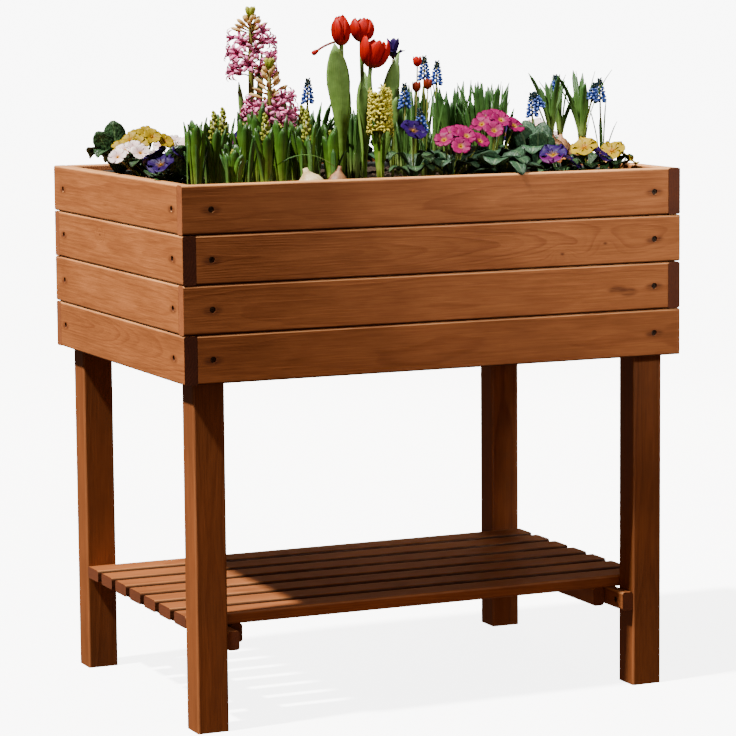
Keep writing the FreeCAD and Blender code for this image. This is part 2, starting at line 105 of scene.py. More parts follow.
def make_backdrop():
    """A dim warm world that lights the object, and a bright white one that only the camera sees."""
    world = bpy.data.worlds.new("studio")
    world.use_nodes = True
    nodes, links = world.node_tree.nodes, world.node_tree.links
    background = nodes["Background"]
    background.inputs["Color"].default_value = (1, 0.62, 0.43, 1)
    background.inputs["Strength"].default_value = 0.15
    backdrop = nodes.new("ShaderNodeBackground")
    backdrop.inputs["Strength"].default_value = 11.0
    choice = nodes.new("ShaderNodeMixShader")
    ray = nodes.new("ShaderNodeLightPath")
    links.new(ray.outputs["Is Camera Ray"], choice.inputs[0])
    links.new(background.outputs[0], choice.inputs[1])
    links.new(backdrop.outputs[0], choice.inputs[2])
    links.new(choice.outputs[0], nodes["World Output"].inputs[0])
    bpy.context.scene.world = world


def make_floor():
    """A pale floor that glows a little, and sends no light to the object."""
    bpy.ops.mesh.primitive_plane_add(size=30)
    floor = bpy.context.object
    floor.name = "floor"
    graph = Graph("floor", roughness=0.9, specular=0.1)
    graph.out("Base Color", (0.9, 0.9, 0.9))
    graph.out("Emission Color", (1, 1, 1))
    graph.out("Emission Strength", 5.5)
    floor.data.materials.append(graph.material)
    floor.visible_diffuse = False
    floor.visible_glossy = False


# ---------------------------------------------------------------- material building

class Graph:
    """A material and short ways to add nodes to it. An input is a number, a tuple or a socket."""

    def __init__(self, name, roughness=0.5, specular=0.5):
        self.material = bpy.data.materials.new(name)
        self.material.use_nodes = True
        self.tree = self.material.node_tree
        self.shader = self.tree.nodes["Principled BSDF"]
        self.out("Roughness", roughness)
        self.out("Specular IOR Level", specular)

    def feed(self, socket, value):
        if isinstance(value, bpy.types.NodeSocket):
            self.tree.links.new(value, socket)
        elif isinstance(value, tuple) and len(socket.default_value) == 4:
            socket.default_value = (*value[:3], 1)
        else:
            socket.default_value = value

    def out(self, name, value):
        self.feed(self.shader.inputs[name], value)

    def add(self, kind, *values, **settings):
        """A new node, with values for its first inputs."""
        node = self.tree.nodes.new(f"ShaderNode{kind}")
        for setting, choice in settings.items():
            setattr(node, setting, choice)
        for socket, value in zip(node.inputs, values):
            self.feed(socket, value)
        return node

    def math(self, operation, *values):
        return self.add("Math", *values, operation=operation).outputs[0]

    def plus(self, first, second):
        return self.math("ADD", first, second)

    def times(self, first, second):
        return self.math("MULTIPLY", first, second)

    def line(self, value, slope, start):
        """value * slope + start."""
        return self.math("MULTIPLY_ADD", value, slope, start)

    def vector(self, operation, *values):
        node = self.add("VectorMath", *values, operation=operation)
        return node.outputs["Value" if operation == "LENGTH" else "Vector"]

    def split(self, vector):
        return list(self.add("SeparateXYZ", vector).outputs)

    def join(self, *values):
        return self.add("CombineXYZ", *values).outputs[0]

    def stretch(self, parts, scales, shifts=(0.0, 0.0, 0.0)):
        """A vector of three numbers, each times its scale plus its shift."""
        return self.join(*(self.line(*each) for each in zip(parts, scales, shifts)))

    def place(self, output="Object"):
        return self.add("TexCoord").outputs[output]

    def mark(self, name):
        """A number that the mesh holds at each vertex."""
        return self.add("Attribute", attribute_name=name).outputs["Fac"]

    def marks(self, **scales):
        """A vector of three marks, each times its scale."""
        return self.join(*(self.times(self.mark(name), scale) for name, scale in scales.items()))

    def noise(self, vector, scale, detail=3.0, roughness=0.5, output="Fac"):
        return self.add("TexNoise", vector, 0.0, scale, detail, roughness).outputs[output]

    def cells(self, vector, scale):
        return self.add("TexVoronoi", vector, 0.0, scale).outputs["Distance"]

    def span(self, value, low, high, to_low=0.0, to_high=1.0, kind="LINEAR"):
        return self.add("MapRange", value, low, high, to_low, to_high, interpolation_type=kind).outputs[0]

    def ramp(self, value, *stops):
        """A colour ramp through (place, colour) stops. A colour may be one number, a grey."""
        node = self.add("ValToRGB", value)
        elements = node.color_ramp.elements
        while len(elements) < len(stops):
            elements.new(1)
        for element, (place, colour) in zip(elements, stops):
            element.position = place
            element.color = (*colour, 1) if isinstance(colour, tuple) else (colour, colour, colour, 1)
        return node.outputs[0]

    def mix(self, share, first, second, blend="MIX"):
        node = self.add("Mix", share, data_type="RGBA", blend_type=blend)
        self.feed(node.inputs[6], first)
        self.feed(node.inputs[7], second)
        return node.outputs[2]

    def tint(self, colour, value, *stops):
        """A colour multiplied by a ramp."""
        return self.mix(1.0, colour, self.ramp(value, *stops), "MULTIPLY")

    def bump(self, height, distance, strength):
        node = self.add("Bump")
        node.inputs["Strength"].default_value = strength
        node.inputs["Distance"].default_value = distance
        self.feed(node.inputs["Height"], height)
        self.out("Normal", node.outputs[0])


# ---------------------------------------------------------------- wood

EARLY_WOOD = (0.35, 0.124, 0.039)
LATE_WOOD = (0.17, 0.042, 0.011)
KNOT_WOOD = (0.070, 0.016, 0.005)
# Colour of worn glaze, also used for the painted highlight on upper arrises and rim tops
WORN_AND_HIGHLIT_WOOD = (0.60, 0.285, 0.110)
# Painted shade, for the seams under the boards and the gaps between the slats
PAINTED_SHADE = (0.018, 0.005, 0.002)

# Timber whose figure stands out: knots as (place along, place across, size), smudges of pitch as
# (place along, place across), the lean of the tree's pith, and its depth behind the face
FIGURES = {
    "front_board_2": {"knots": ((0.262, -0.003, 0.009), (0.19, -0.016, 0.005)), "tilt": 0.055,
                      "pith": 0.034},
    "front_board_3": {"knots": (), "smudges": ((0.303, -0.002), (0.322, -0.006)), "tilt": 0.012,
                      "pith": 0.07},
    "left_board_2": {"knots": ((0.08, 0.012, 0.004),), "tilt": 0.03, "pith": 0.04},
    "left_board_4": {"knots": (), "tilt": 0.075, "pith": 0.032},
    "right_board_3": {"knots": ((-0.12, 0.01, 0.006),), "tilt": 0.02, "pith": 0.05},
    "back_board_2": {"knots": ((-0.20, -0.008, 0.007), (0.15, 0.014, 0.004)), "tilt": 0.03, "pith": 0.05},
    "back_board_4": {"knots": ((0.26, 0.006, 0.006),), "tilt": 0.04, "pith": 0.036},
}

SLATS = [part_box(node) for node in NODES if node.startswith("shelf_slat")]
FRONT_SLAT = min((low.y + high.y) / 2 for low, high in SLATS) + 0.01


def parts_of(node):
    """The lowest and highest corner of each separate solid of a CAD node."""
    mesh = NODES[node].data
    points = np.array([vertex.co for vertex in mesh.vertices])
    rounded = points.round(5).tolist()
    same_place = {}
    home = [same_place.setdefault(tuple(point), number) for number, point in enumerate(rounded)]
    leader = list(range(len(points)))

    def lead(number):
        while leader[number] != number:
            leader[number] = leader[leader[number]]
            number = leader[number]
        return number

    for face in mesh.polygons:
        first = lead(home[face.vertices[0]])
        for vertex in face.vertices[1:]:
            leader[lead(home[vertex])] = first
    groups = {}
    for number in range(len(points)):
        groups.setdefault(lead(home[number]), []).append(number)
    return [(points[members].min(0), points[members].max(0)) for members in groups.values()]


def screw_spots(node, along, across):
    """Where screws go through a wall board's face, as (place along, place across) from its middle."""
    low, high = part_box(node)
    middle = (low + high) / 2
    spots = []
    for start, end in parts_of(f"{node.split('_')[0]}_wall_screws"):
        place = (start + end) / 2
        if low.z < place[2] < high.z:
            spots.append((place[along] - middle[along], place[across] - middle[across]))
    return spots


def wood(node, along, face, seed, tone=1.0, spots=(), ends=(0.42, 0.32, 0.25)):
    """Glazed softwood for one piece of timber. along is the axis of its grain and face the axis
    that its widest side faces. Round each of its spots the fibres are crushed and stained. Its end
    grain is darker than its sides by ends."""
    draw = random.Random(seed)
    low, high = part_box(node)
    middle, half = (low + high) / 2, (high - low) / 2
    across = 3 - along - face
    plain = {"knots": (), "tilt": draw.uniform(0.003, 0.016), "pith": draw.uniform(0.05, 0.11)}
    figure = FIGURES.get(node, plain)
    ring = draw.uniform(0.0032, 0.0046)
    graph = Graph(f"wood_{node}", specular=0.3)
    local = graph.split(graph.vector("SUBTRACT", graph.place(), tuple(middle)))
    grain = run, wide, deep = local[along], local[across], local[face]

    def distance(place, height, squeeze):
        """How far a point of the face is from a place on it, less along the grain."""
        off_run = graph.line(run, squeeze, -squeeze * place)
        return graph.vector("LENGTH", graph.join(off_run, graph.math("SUBTRACT", wide, height), 0.0))

    # Growth rings round a pith that lies a little askew of the timber
    slow = graph.stretch(grain, (2.6, 9.0, 9.0), (0.0, 0.0, draw.uniform(0, 50)))
    drift = graph.split(graph.noise(slow, 1.0, 2.0, output="Color"))
    pith_wide = draw.uniform(-0.35, 0.35) * half[across]
    lean = draw.choice((-1, 1)) * figure["tilt"]
    from_pith_wide = graph.plus(graph.line(drift[0], 0.022, -0.011 - pith_wide),
                                graph.line(run, draw.uniform(-0.02, 0.02), wide))
    from_pith_deep = graph.plus(graph.line(drift[1], 0.026, figure["pith"] - 0.013),
                                graph.line(run, lean, deep))
    radius = graph.vector("LENGTH", graph.join(from_pith_wide, from_pith_deep, 0.0))

    knot_core = 0.0
    for place, height, size in figure["knots"]:
        off = distance(place, height, 0.6)
        near = graph.times(graph.math("POWER", off, 2.0), -1 / (2.2 * size) ** 2)
        radius = graph.line(graph.math("EXPONENT", near), 3.4 * ring, radius)
        core = graph.span(off, 0.0, 0.0035, 1.0, 0.0, SMOOTH)
        knot_core = graph.math("MAXIMUM", knot_core, core)

    waver = graph.noise(graph.stretch(grain, (14.0, 60.0, 60.0)), 1.0, 2.0)
    phase = graph.plus(graph.math("DIVIDE", radius, ring), graph.times(waver, 0.5))
    year = graph.join(graph.math("FLOOR", phase), draw.uniform(0, 9), 0.0)
    season = graph.ramp(graph.math("FRACT", phase), (0.0, 0.0), (0.45, 0.15), (0.84, 1.0), (0.93, 0.85),
                        (1.0, 0.0))
    late = graph.times(season, graph.span(graph.noise(year, 0.7, 0.0), 0.3, 0.7, 0.12, 0.46))

    # Fine fibres along the grain, and slow patches where the glaze took unevenly
    fibres = graph.noise(graph.stretch(grain, (16.0, 560.0, 560.0)), 1.0, 4.0, 0.65)
    glaze = graph.stretch(grain, (6.0, 20.0, 20.0), (draw.uniform(0, 50), 0.0, 0.0))
    patches = graph.noise(glaze, 1.0, 5.0, 0.65)
    colour = graph.mix(late, EARLY_WOOD, LATE_WOOD)
    colour = graph.tint(colour, fibres, (0.28, (0.74, 0.70, 0.66)), (0.72, 1.14))
    colour = graph.tint(colour, patches, (0.28, (0.74 * tone, 0.66 * tone, 0.58 * tone)),
                        (0.72, (1.16 * tone, 1.16 * tone ** 1.3, 1.16 * tone ** 1.6)))
    if figure["knots"]:
        colour = graph.mix(graph.times(knot_core, 0.85), colour, KNOT_WOOD)
    for place, height in (*spots, *figure.get("smudges", ())):
        off = distance(place, height - 0.001, 0.42)
        stain = graph.times(graph.span(off, 0.0035, 0.0085, 0.8, 0.0, SMOOTH), graph.span(fibres, 0.35, 0.6))
        colour = graph.mix(stain, colour, KNOT_WOOD)

    # Thin glaze on the upper arrises, painted highlight on them and on the rim tops, painted shade in the
    # seams below, and end grain that drank more glaze
    normal = graph.split(graph.place("Normal"))
    arris = graph.plus(graph.math("SUBTRACT", half[across], graph.math("ABSOLUTE", wide)),
                       graph.math("SUBTRACT", half[face], graph.math("ABSOLUTE", deep)))
    # Upper arrises lightened: partly worn glaze, partly a painted highlight, kept to the faces that turn up
    # to the light
    rub_and_highlight = graph.times(graph.span(arris, 0.0012, 0.0042, 1.0, 0.0, SMOOTH),
                      graph.span(patches, 0.35, 0.6, 0.2, 0.7))
    colour = graph.mix(graph.times(rub_and_highlight, graph.span(normal[2], -0.05, 0.3)), colour, WORN_AND_HIGHLIT_WOOD)
    # The upward faces of the top course, the rim tops, are lightened: a painted highlight where the light
    # from above falls
    if "board_1" in node:
        colour = graph.mix(graph.span(normal[2], 0.5, 0.9, 0.0, 0.75), colour, WORN_AND_HIGHLIT_WOOD)
    # Downward faces of the boards darkened: painted shade in the seams under each board
    if "board" in node:
        colour = graph.mix(graph.span(normal[2], -0.15, -0.6, 0.0, 0.85), colour, PAINTED_SHADE)
    # The front sides of the slats behind the front one are darkened: painted shade in the gaps between slats
    if node.startswith("shelf_slat") and middle.y > FRONT_SLAT:
        colour = graph.mix(graph.span(normal[1], -0.3, -0.8, 0.0, 0.8), colour, PAINTED_SHADE)
    end = graph.span(graph.math("ABSOLUTE", normal[along]), 0.6, 0.9)
    graph.out("Base Color", graph.mix(end, colour, graph.mix(1.0, colour, ends, "MULTIPLY")))
    graph.out("Roughness", graph.plus(graph.span(fibres, 0.3, 0.7, 0.38, 0.52), graph.times(end, 0.3)))
    graph.bump(graph.line(late, 0.6, graph.times(fibres, 0.8)), 0.00035, 0.7)
    return graph.material


def dress(node, material):
    """Give a CAD node its finished material."""
    materials = NODES[node].data.materials
    materials.clear()
    materials.append(material)


def dress_timber():
    seeds = iter(range(101, 200))
    for side, along, face in (("front", 0, 1), ("back", 0, 1), ("left", 1, 0), ("right", 1, 0)):
        for course in range(1, 5):
            node = f"{side}_board_{course}"
            ends = (0.80, 0.72, 0.66) if along == 0 else (0.24, 0.15, 0.10)
            # The lowest course is darker: painted shade for the light that falls off towards the bottom of
            # the box
            tone = 0.86 if course == 4 else 1.0
            spots = screw_spots(node, along, 2)
            dress(node, wood(node, along, face, next(seeds), tone, spots, ends))
    for node, slot in SLOT_OF.items():
        if slot == "leg_wood":
            dress(node, wood(node, 2, 1, next(seeds), tone=0.57))
        elif node.startswith("shelf_slat"):
            dress(node, wood(node, 0, 2, next(seeds), tone=0.75))
        elif node.startswith(("shelf_rail", "shelf_batten", "floor_bearer")):
            dress(node, wood(node, 1, 0, next(seeds), tone=0.8))
        elif node.startswith("floor_board") and "screws" not in node:
            dress(node, wood(node, 0, 2, next(seeds), tone=0.9))


# ---------------------------------------------------------------- soil, liner and screws

def soil_material():
    graph = Graph("soil", roughness=0.9, specular=0.2)
    coarse = graph.noise(graph.place(), 120.0, 6.0, 0.7)
    grains = graph.cells(graph.place(), 420.0)
    colour = graph.ramp(coarse, (0.3, (0.010, 0.006, 0.004)), (0.55, (0.035, 0.020, 0.011)),
                        (0.75, (0.085, 0.050, 0.028)))
    colour = graph.mix(graph.span(grains, 0.0, 0.35, 0.35, 0.0), colour, (0.12, 0.085, 0.055))
    graph.out("Base Color", colour)
    graph.out("Roughness", graph.span(coarse, 0.3, 0.7, 0.75, 0.98))
    graph.bump(graph.plus(coarse, graph.times(grains, -0.5)), 0.003, 1.0)
    return graph.material


def liner_material():
    """Woven tape cloth, in flat tapes that pass over and under one another."""
    graph = Graph("liner", roughness=0.6, specular=0.4)
    x, y, z = graph.split(graph.place())
    turns = ROUND / 0.0024
    across = graph.math("SINE", graph.times(graph.plus(x, y), turns))
    upward = graph.math("SINE", graph.times(z, turns))
    weave = graph.times(across, upward)
    dust = graph.noise(graph.place(), 30.0, 4.0)
    colour = graph.mix(graph.span(weave, -0.4, 0.4), (0.010, 0.012, 0.011), (0.030, 0.036, 0.031))
    graph.out("Base Color", graph.mix(graph.span(dust, 0.5, 0.75, 0.0, 0.5), colour, (0.07, 0.05, 0.035)))
    graph.out("Roughness", graph.span(dust, 0.3, 0.7, 0.5, 0.8))
    graph.bump(weave, 0.0004, 0.8)
    return graph.material


def screw_material():
    graph = Graph("screw_steel", roughness=0.4)
    graph.out("Metallic", 0.8)
    dull = graph.noise(graph.place(), 300.0, 4.0, 0.6)
    graph.out("Base Color", graph.ramp(dull, (0.35, (0.022, 0.012, 0.007)), (0.75, (0.14, 0.10, 0.07))))
    graph.out("Roughness", graph.span(dull, 0.3, 0.7, 0.55, 0.3))
    graph.bump(graph.noise(graph.place(), 2500.0, 2.0), 0.00008, 0.6)
    return graph.material


def add_piece(mesh, node):
    """Put a mesh in the scene as the piece that stands for a CAD node of the stand."""
    piece = bpy.data.objects.new(mesh.name, mesh)
    bpy.context.scene.collection.objects.link(piece)
    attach(piece, "stand")
    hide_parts(node)
    return piece


def cross_outline(gap):
    """Corners of the box's inside round its four legs, that gap clear of the boards and legs."""
    low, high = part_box("liner")
    edge_x, edge_y = high.x - gap, high.y - gap
    leg_low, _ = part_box("back_right_leg")
    inner_x, inner_y = leg_low.x - gap, leg_low.y - gap
    quarter = ((edge_x, inner_y), (inner_x, inner_y), (inner_x, edge_y))
    corners = list(quarter)
    corners += [(-x, y) for x, y in reversed(quarter)]
    corners += [(-x, -y) for x, y in quarter]
    corners += [(x, -y) for x, y in reversed(quarter)]
    return corners


def rumple(x, y, z, scale):
    return noise.noise(Vector((x, y, z)) * scale)


def make_liner():
    low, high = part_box("liner")
    corners = cross_outline(0.0006)
    loop = []
    for start, end in zip(corners, corners[1:] + corners[:1]):
        start, end = Vector(start), Vector(end)
        steps = max(2, round((end - start).length / 0.011))
        loop += [start.lerp(end, step / steps) for step in range(steps)]
    levels = [low.z + (high.z - low.z) * share for share in (0, 0.25, 0.5, 0.75, 0.9, 0.955, 0.98, 1)]
    inward = []
    for number, point in enumerate(loop):
        way = loop[(number + 1) % len(loop)] - loop[number - 1]
        inward.append(Vector((-way.y, way.x)).normalized())
    work = bmesh.new()
    rows = []
    for level in levels:
        over = max(0.0, (level - levels[-3]) / (levels[-1] - levels[-3]))
        row = []
        for point, way in zip(loop, inward):
            fold = 0.0007 + 0.0006 * rumple(point.x, point.y, level, 28)
            fold += over * (0.0012 + 0.0022 * rumple(point.x, point.y, 0, 17))
            rise = 0.0016 * over * rumple(point.x, point.y, 3, 14)
            row.append(work.verts.new((*(point + way * fold), level + rise)))
        rows.append(row)
    for lower, upper in zip(rows, rows[1:]):
        for here in range(len(loop)):
            there = (here + 1) % len(loop)
            work.faces.new((lower[here], lower[there], upper[there], upper[here]))
    work.faces.new(rows[0][::-1])
    mesh = bpy.data.meshes.new("liner_cloth")
    work.to_mesh(mesh)
    work.free()
    mesh.shade_smooth()
    mesh.materials.append(liner_material())
    piece = add_piece(mesh, "liner")
    thicken = piece.modifiers.new("cloth", "SOLIDIFY")
    thicken.thickness = 0.0006
    thicken.offset = 0


def soil_height(x, y, mounds):
    rise = 0.0045 * rumple(x, y, 0, 22) + 0.0022 * rumple(x, y, 5, 75) + 0.0012 * rumple(x, y, 9, 190)
    for middle, reach, tall in mounds:
        rise += tall * math.exp(-((x - middle[0]) ** 2 + (y - middle[1]) ** 2) / reach ** 2)
    return rise


def make_soil():
    low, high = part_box("soil")
    leg_low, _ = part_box("back_right_leg")
    gap = 0.0026
    clump = places("bulb_clump")[0][0]
    mounds = [(clump, 0.046, 0.014)] + [(foot, 0.03, 0.006) for foot, _, _ in places("primroses")]
    step = 0.0055

    def spread(end, inner):
        """Grid lines from one side to the other that also run along the legs' faces."""
        inside = np.linspace(-inner, inner, 2 * round(inner / step) + 1)
        outside = np.linspace(inner, end, max(2, round((end - inner) / step)) + 1)[1:]
        return np.concatenate((-outside[::-1], inside, outside))

    inner_x, inner_y = leg_low.x - gap, leg_low.y - gap
    lines_x, lines_y = spread(high.x, inner_x), spread(high.y, inner_y)
    work = bmesh.new()
    grid = {}

    def corner(i, j):
        if (i, j) not in grid:
            x, y = float(lines_x[i]), float(lines_y[j])
            grid[i, j] = work.verts.new((x, y, high.z + soil_height(x, y, mounds)))
        return grid[i, j]

    for i in range(len(lines_x) - 1):
        for j in range(len(lines_y) - 1):
            x = (lines_x[i] + lines_x[i + 1]) / 2
            y = (lines_y[j] + lines_y[j + 1]) / 2
            if abs(x) > inner_x and abs(y) > inner_y:
                continue
            work.faces.new((corner(i, j), corner(i + 1, j), corner(i + 1, j + 1), corner(i, j + 1)))
    rim = [edge for edge in work.edges if edge.is_boundary]
    skirt = bmesh.ops.extrude_edge_only(work, edges=rim)["geom"]
    for vertex in (item for item in skirt if isinstance(item, bmesh.types.BMVert)):
        vertex.co.z = low.z
    bmesh.ops.contextual_create(work, geom=[edge for edge in work.edges if edge.is_boundary])

    draw = random.Random(21)
    for _ in range(900):
        x, y = draw.uniform(-0.97, 0.97) * high.x, draw.uniform(-0.97, 0.97) * high.y
        if abs(x) > inner_x - 0.004 and abs(y) > inner_y - 0.004:
            continue
        size = draw.uniform(0.0012, 0.0042)
        place = Matrix.Translation((x, y, high.z + soil_height(x, y, mounds) + size * 0.3))
        turn = Matrix.Rotation(draw.uniform(0, 6), 4, (draw.random(), draw.random(), 1))
        squat = Matrix.Diagonal((1, draw.uniform(0.6, 1), draw.uniform(0.5, 0.9), 1))
        crumb = bmesh.ops.create_icosphere(work, subdivisions=1, radius=size, matrix=place @ turn @ squat)
        for vertex in crumb["verts"]:
            dent = Vector([draw.uniform(-1, 1) for _ in range(3)])
            vertex.co += dent * size * 0.22
    bmesh.ops.recalc_face_normals(work, faces=work.faces)
    mesh = bpy.data.meshes.new("soil_crumbly")
    work.to_mesh(mesh)
    work.free()
    mesh.materials.append(soil_material())
    add_piece(mesh, "soil")


def dress_screws():
    steel = screw_material()
    for node, slot in SLOT_OF.items():
        if slot == "screw_steel":
            dress(node, steel)


# ---------------------------------------------------------------- plant building

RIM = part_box("front_board_1")[1].z
BOARD_THICK = 0.020
INSIDE = (-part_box("left_board_1")[0].x - BOARD_THICK, -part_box("front_board_1")[0].y - BOARD_THICK)
OVERHANG = (INSIDE[0] - 0.002, INSIDE[1] + 0.010)
GOLDEN = math.pi * (3 - math.sqrt(5))
UP = np.array((0.0, 0.0, 1.0))
# A leaf whose width lies along this heading shows its face to the camera
LEFT_TO_RIGHT = -0.42


def unit(vectors):
    vectors = np.asarray(vectors, float)
    return vectors / np.maximum(np.linalg.norm(vectors, axis=-1, keepdims=True), 1e-12)


def bezier(controls, count):
    """Points along the smooth curve that a few control points pull."""
    layers = np.repeat(np.asarray(controls, float)[:, None, :], count, axis=1)
    share = np.linspace(0, 1, count)[:, None]
    while len(layers) > 1:
        layers = layers[:-1] * (1 - share) + layers[1:] * share
    return layers[0]


def compass(angle):
    return np.array((math.cos(angle), math.sin(angle), 0.0))


def profile(count, *stops):
    """Numbers at evenly spaced stations, on a softened line through (place, number) stops."""
    fine = np.linspace(0, 1, 81)
    line = np.interp(fine, *zip(*stops))
    weights = np.hanning(15) / np.hanning(15).sum()
    soft = np.convolve(np.pad(line, 7, mode="edge"), weights, mode="valid")
    ends = np.clip(np.minimum(fine, 1 - fine) * 8, 0, 1)
    return np.interp(np.linspace(0, 1, count), fine, soft * ends + line * (1 - ends))


# Outlines of leaves and petals, as (share of the length, share of the width)
STRAP = ((0, 0.5), (0.25, 0.85), (0.65, 1), (0.88, 0.85), (0.97, 0.5), (1, 0.12))
HOOD = ((0, 0.55), (0.2, 0.85), (0.6, 1), (0.85, 0.8), (0.95, 0.5), (1, 0.15))
BROAD = ((0, 0.10), (0.15, 0.12), (0.35, 0.5), (0.6, 1), (0.8, 0.98), (0.93, 0.66), (1, 0.16))
CUP = ((0, 0.3), (0.35, 0.85), (0.6, 1), (0.8, 0.72), (0.93, 0.34), (1, 0.05))
PETAL = ((0, 0.2), (0.3, 0.62), (0.6, 1), (0.82, 0.92), (0.95, 0.6), (1, 0.2))
FLORET = ((0, 0.6), (0.5, 1), (0.8, 0.8), (1, 0.15))
TULIP_LEAF = ((0, 0.2), (0.3, 0.35), (0.52, 0.7), (0.74, 1), (0.88, 0.75), (0.96, 0.35), (1, 0.05))
HOOD_ROLL = profile(11, (0, 1.15), (0.6, 0.85), (1, 0.9))

# Outlines of turned bodies: buds as (share of the length, radius), a bulb as shares of both
SHOOT_BUD = ((0, 0.0008), (0.3, 0.0024), (0.65, 0.0026), (0.9, 0.0015), (1, 0.0004))
SIDE_BUD = ((0, 0.0006), (0.4, 0.0014), (0.65, 0.0034), (0.88, 0.0026), (1, 0.0004))
TOP_BUD = ((0, 0.001), (0.5, 0.0034), (0.85, 0.0032), (1, 0.0006))
BULB = ((0, 0.35), (0.10, 0.78), (0.30, 1), (0.50, 0.95), (0.66, 0.72), (0.78, 0.40), (0.88, 0.22), (1, 0.17))


class Growth:
    """The mesh of one planting piece, made of closed blades and stems. Each vertex holds how far
    along its part it is, how far across, and the part's own chance number, for the shaders."""

    def __init__(self, node, materials):
        self.node = node
        self.materials = materials
        self.order = list(materials)
        self.points, self.faces, self.slots = [], [], []
        self.marks = {"along": [], "across": [], "chance": []}
        self.count = 0

    def skin(self, rings, material, across, chance):
        """A closed loft through rings of points."""
        stations, around = rings.shape[:2]
        here = self.count
        index = here + np.arange(stations * around).reshape(stations, around)
        for lower, upper in zip(index, index[1:]):
            turned_lower, turned_upper = np.roll(lower, -1), np.roll(upper, -1)
            self.faces += np.stack((lower, turned_lower, turned_upper, upper), 1).tolist()
        self.faces += [index[0][::-1].tolist(), index[-1].tolist()]
        self.slots += [self.order.index(material)] * (around * (stations - 1) + 2)
        self.points.append(rings.reshape(-1, 3))
        self.marks["along"].append(np.repeat(np.linspace(0, 1, stations), around))
        self.marks["across"].append(np.broadcast_to(across, (stations, around)).ravel())
        self.marks["chance"].append(np.full(stations * around, chance))
        self.count += stations * around

    def blade(self, controls, count, side, outline, width, material, curl=0.5, thick=0.0005, across=5,
              frill=0.0, waves=3.0, notch=0.0, chance=0.5):
        """A leaf or petal along the curve of controls. side is the way across it, and curl the
        half-angle it is rolled through."""
        spine = bezier(controls, count)
        along = unit(np.gradient(spine, axis=0))
        side = np.broadcast_to(side, spine.shape)
        side = unit(side - (side * along).sum(1, keepdims=True) * along)
        normal = np.cross(along, side)
        share = np.linspace(-1, 1, across)
        stations = np.linspace(0, 1, len(spine))
        roll = np.maximum(np.broadcast_to(curl, stations.shape), 0.01)[:, None]
        half = profile(count, *outline)[:, None] * width / 2
        out = np.sin(share * roll) / roll * half
        lift = (1 - np.cos(share * roll)) / roll * half
        ripple = np.sin(waves * ROUND * stations[:, None] + 2 * share + 6 * chance)
        lift = lift + frill * half * share ** 2 * ripple
        back = notch * np.linalg.norm(spine[-1] - spine[0]) * (1 - np.abs(share)) * stations[:, None] ** 6
        middle = (spine[:, None] + side[:, None] * out[..., None] + normal[:, None] * lift[..., None]
                  - along[:, None] * back[..., None])
        skin = normal[:, None] * (thick * (1 - 0.7 * share ** 2))[None, :, None]
        top, bottom = middle + skin, (middle - skin)[:, 1:-1][:, ::-1]
        top[:, (0, -1)] = middle[:, (0, -1)]
        rings = np.concatenate((top, bottom), axis=1)
        self.skin(rings, material, np.concatenate((share, share[1:-1][::-1])), chance)

    def stem(self, spine, radii, material, sides=6, chance=0.5):
        spine = np.asarray(spine, float)
        along = unit(np.gradient(spine, axis=0))
        near = np.array((0.31, 0.95, 0.05)) if abs(along[0][2]) > 0.5 else UP
        side = unit(np.cross(along, near))
        other = np.cross(along, side)
        angles = np.arange(sides) * ROUND / sides
        radii = np.broadcast_to(radii, len(spine))[:, None, None]
        rings = spine[:, None] + radii * (side[:, None] * np.cos(angles)[:, None]
                                          + other[:, None] * np.sin(angles)[:, None])
        self.skin(rings, material, np.cos(angles), chance)

    def body(self, base, axis, length, outline, material, sides=7, chance=0.5):
        """A turned body: outline is (share of the length, radius) pairs."""
        spine = [np.asarray(base) + unit(axis) * share * length for share, _ in outline]
        self.stem(spine, [radius for _, radius in outline], material, sides, chance)

    def finish(self):
        mesh = bpy.data.meshes.new(f"{self.node}_grown")
        mesh.from_pydata(np.concatenate(self.points).tolist(), [], self.faces)
        for name, values in self.marks.items():
            mesh.attributes.new(name, "FLOAT", "POINT").data.foreach_set("value", np.concatenate(values))
        for name in self.order:
            mesh.materials.append(self.materials[name])
        mesh.polygons.foreach_set("material_index", self.slots)
        mesh.shade_smooth()
        mesh.validate()
        add_piece(mesh, self.node)


def places(node):
    """The foot, radius and height of each solid of a planting node, from left to right."""
    found = [(np.array(((low[0] + high[0]) / 2, (low[1] + high[1]) / 2, low[2])), (high[0] - low[0]) / 2,
              high[2] - low[2]) for low, high in parts_of(node)]
    return sorted(found, key=lambda place: tuple(place[0].round(4)))


# ---------------------------------------------------------------- plant materials

def tinted(graph, colour, amount=0.25):
    """Each leaf or petal a little lighter or darker than the next."""
    return graph.tint(colour, graph.mark("chance"), (0, 1 - amount), (1, 1 + amount))


def strap_material(name, base, middle, tip, stripes=26.0):
    graph = Graph(name, roughness=0.42, specular=0.4)
    colour = graph.ramp(graph.mark("along"), (0.02, base), (0.35, middle), (0.9, tip))
    veins = graph.math("SINE", graph.times(graph.mark("across"), stripes))
    mottle = graph.noise(graph.place(), 90.0, 4.0, 0.6)
    colour = graph.mix(graph.span(veins, -1.0, 1.0, 0.0, 0.22), colour, tip)
    colour = graph.tint(colour, mottle, (0.3, (0.72, 0.74, 0.6)), (0.7, (1.2, 1.18, 1.1)))
    graph.out("Base Color", tinted(graph, colour))
    graph.out("Roughness", graph.span(mottle, 0.3, 0.7, 0.34, 0.5))
    graph.bump(graph.plus(graph.times(veins, 0.3), mottle), 0.0004, 0.6)
    return graph.material


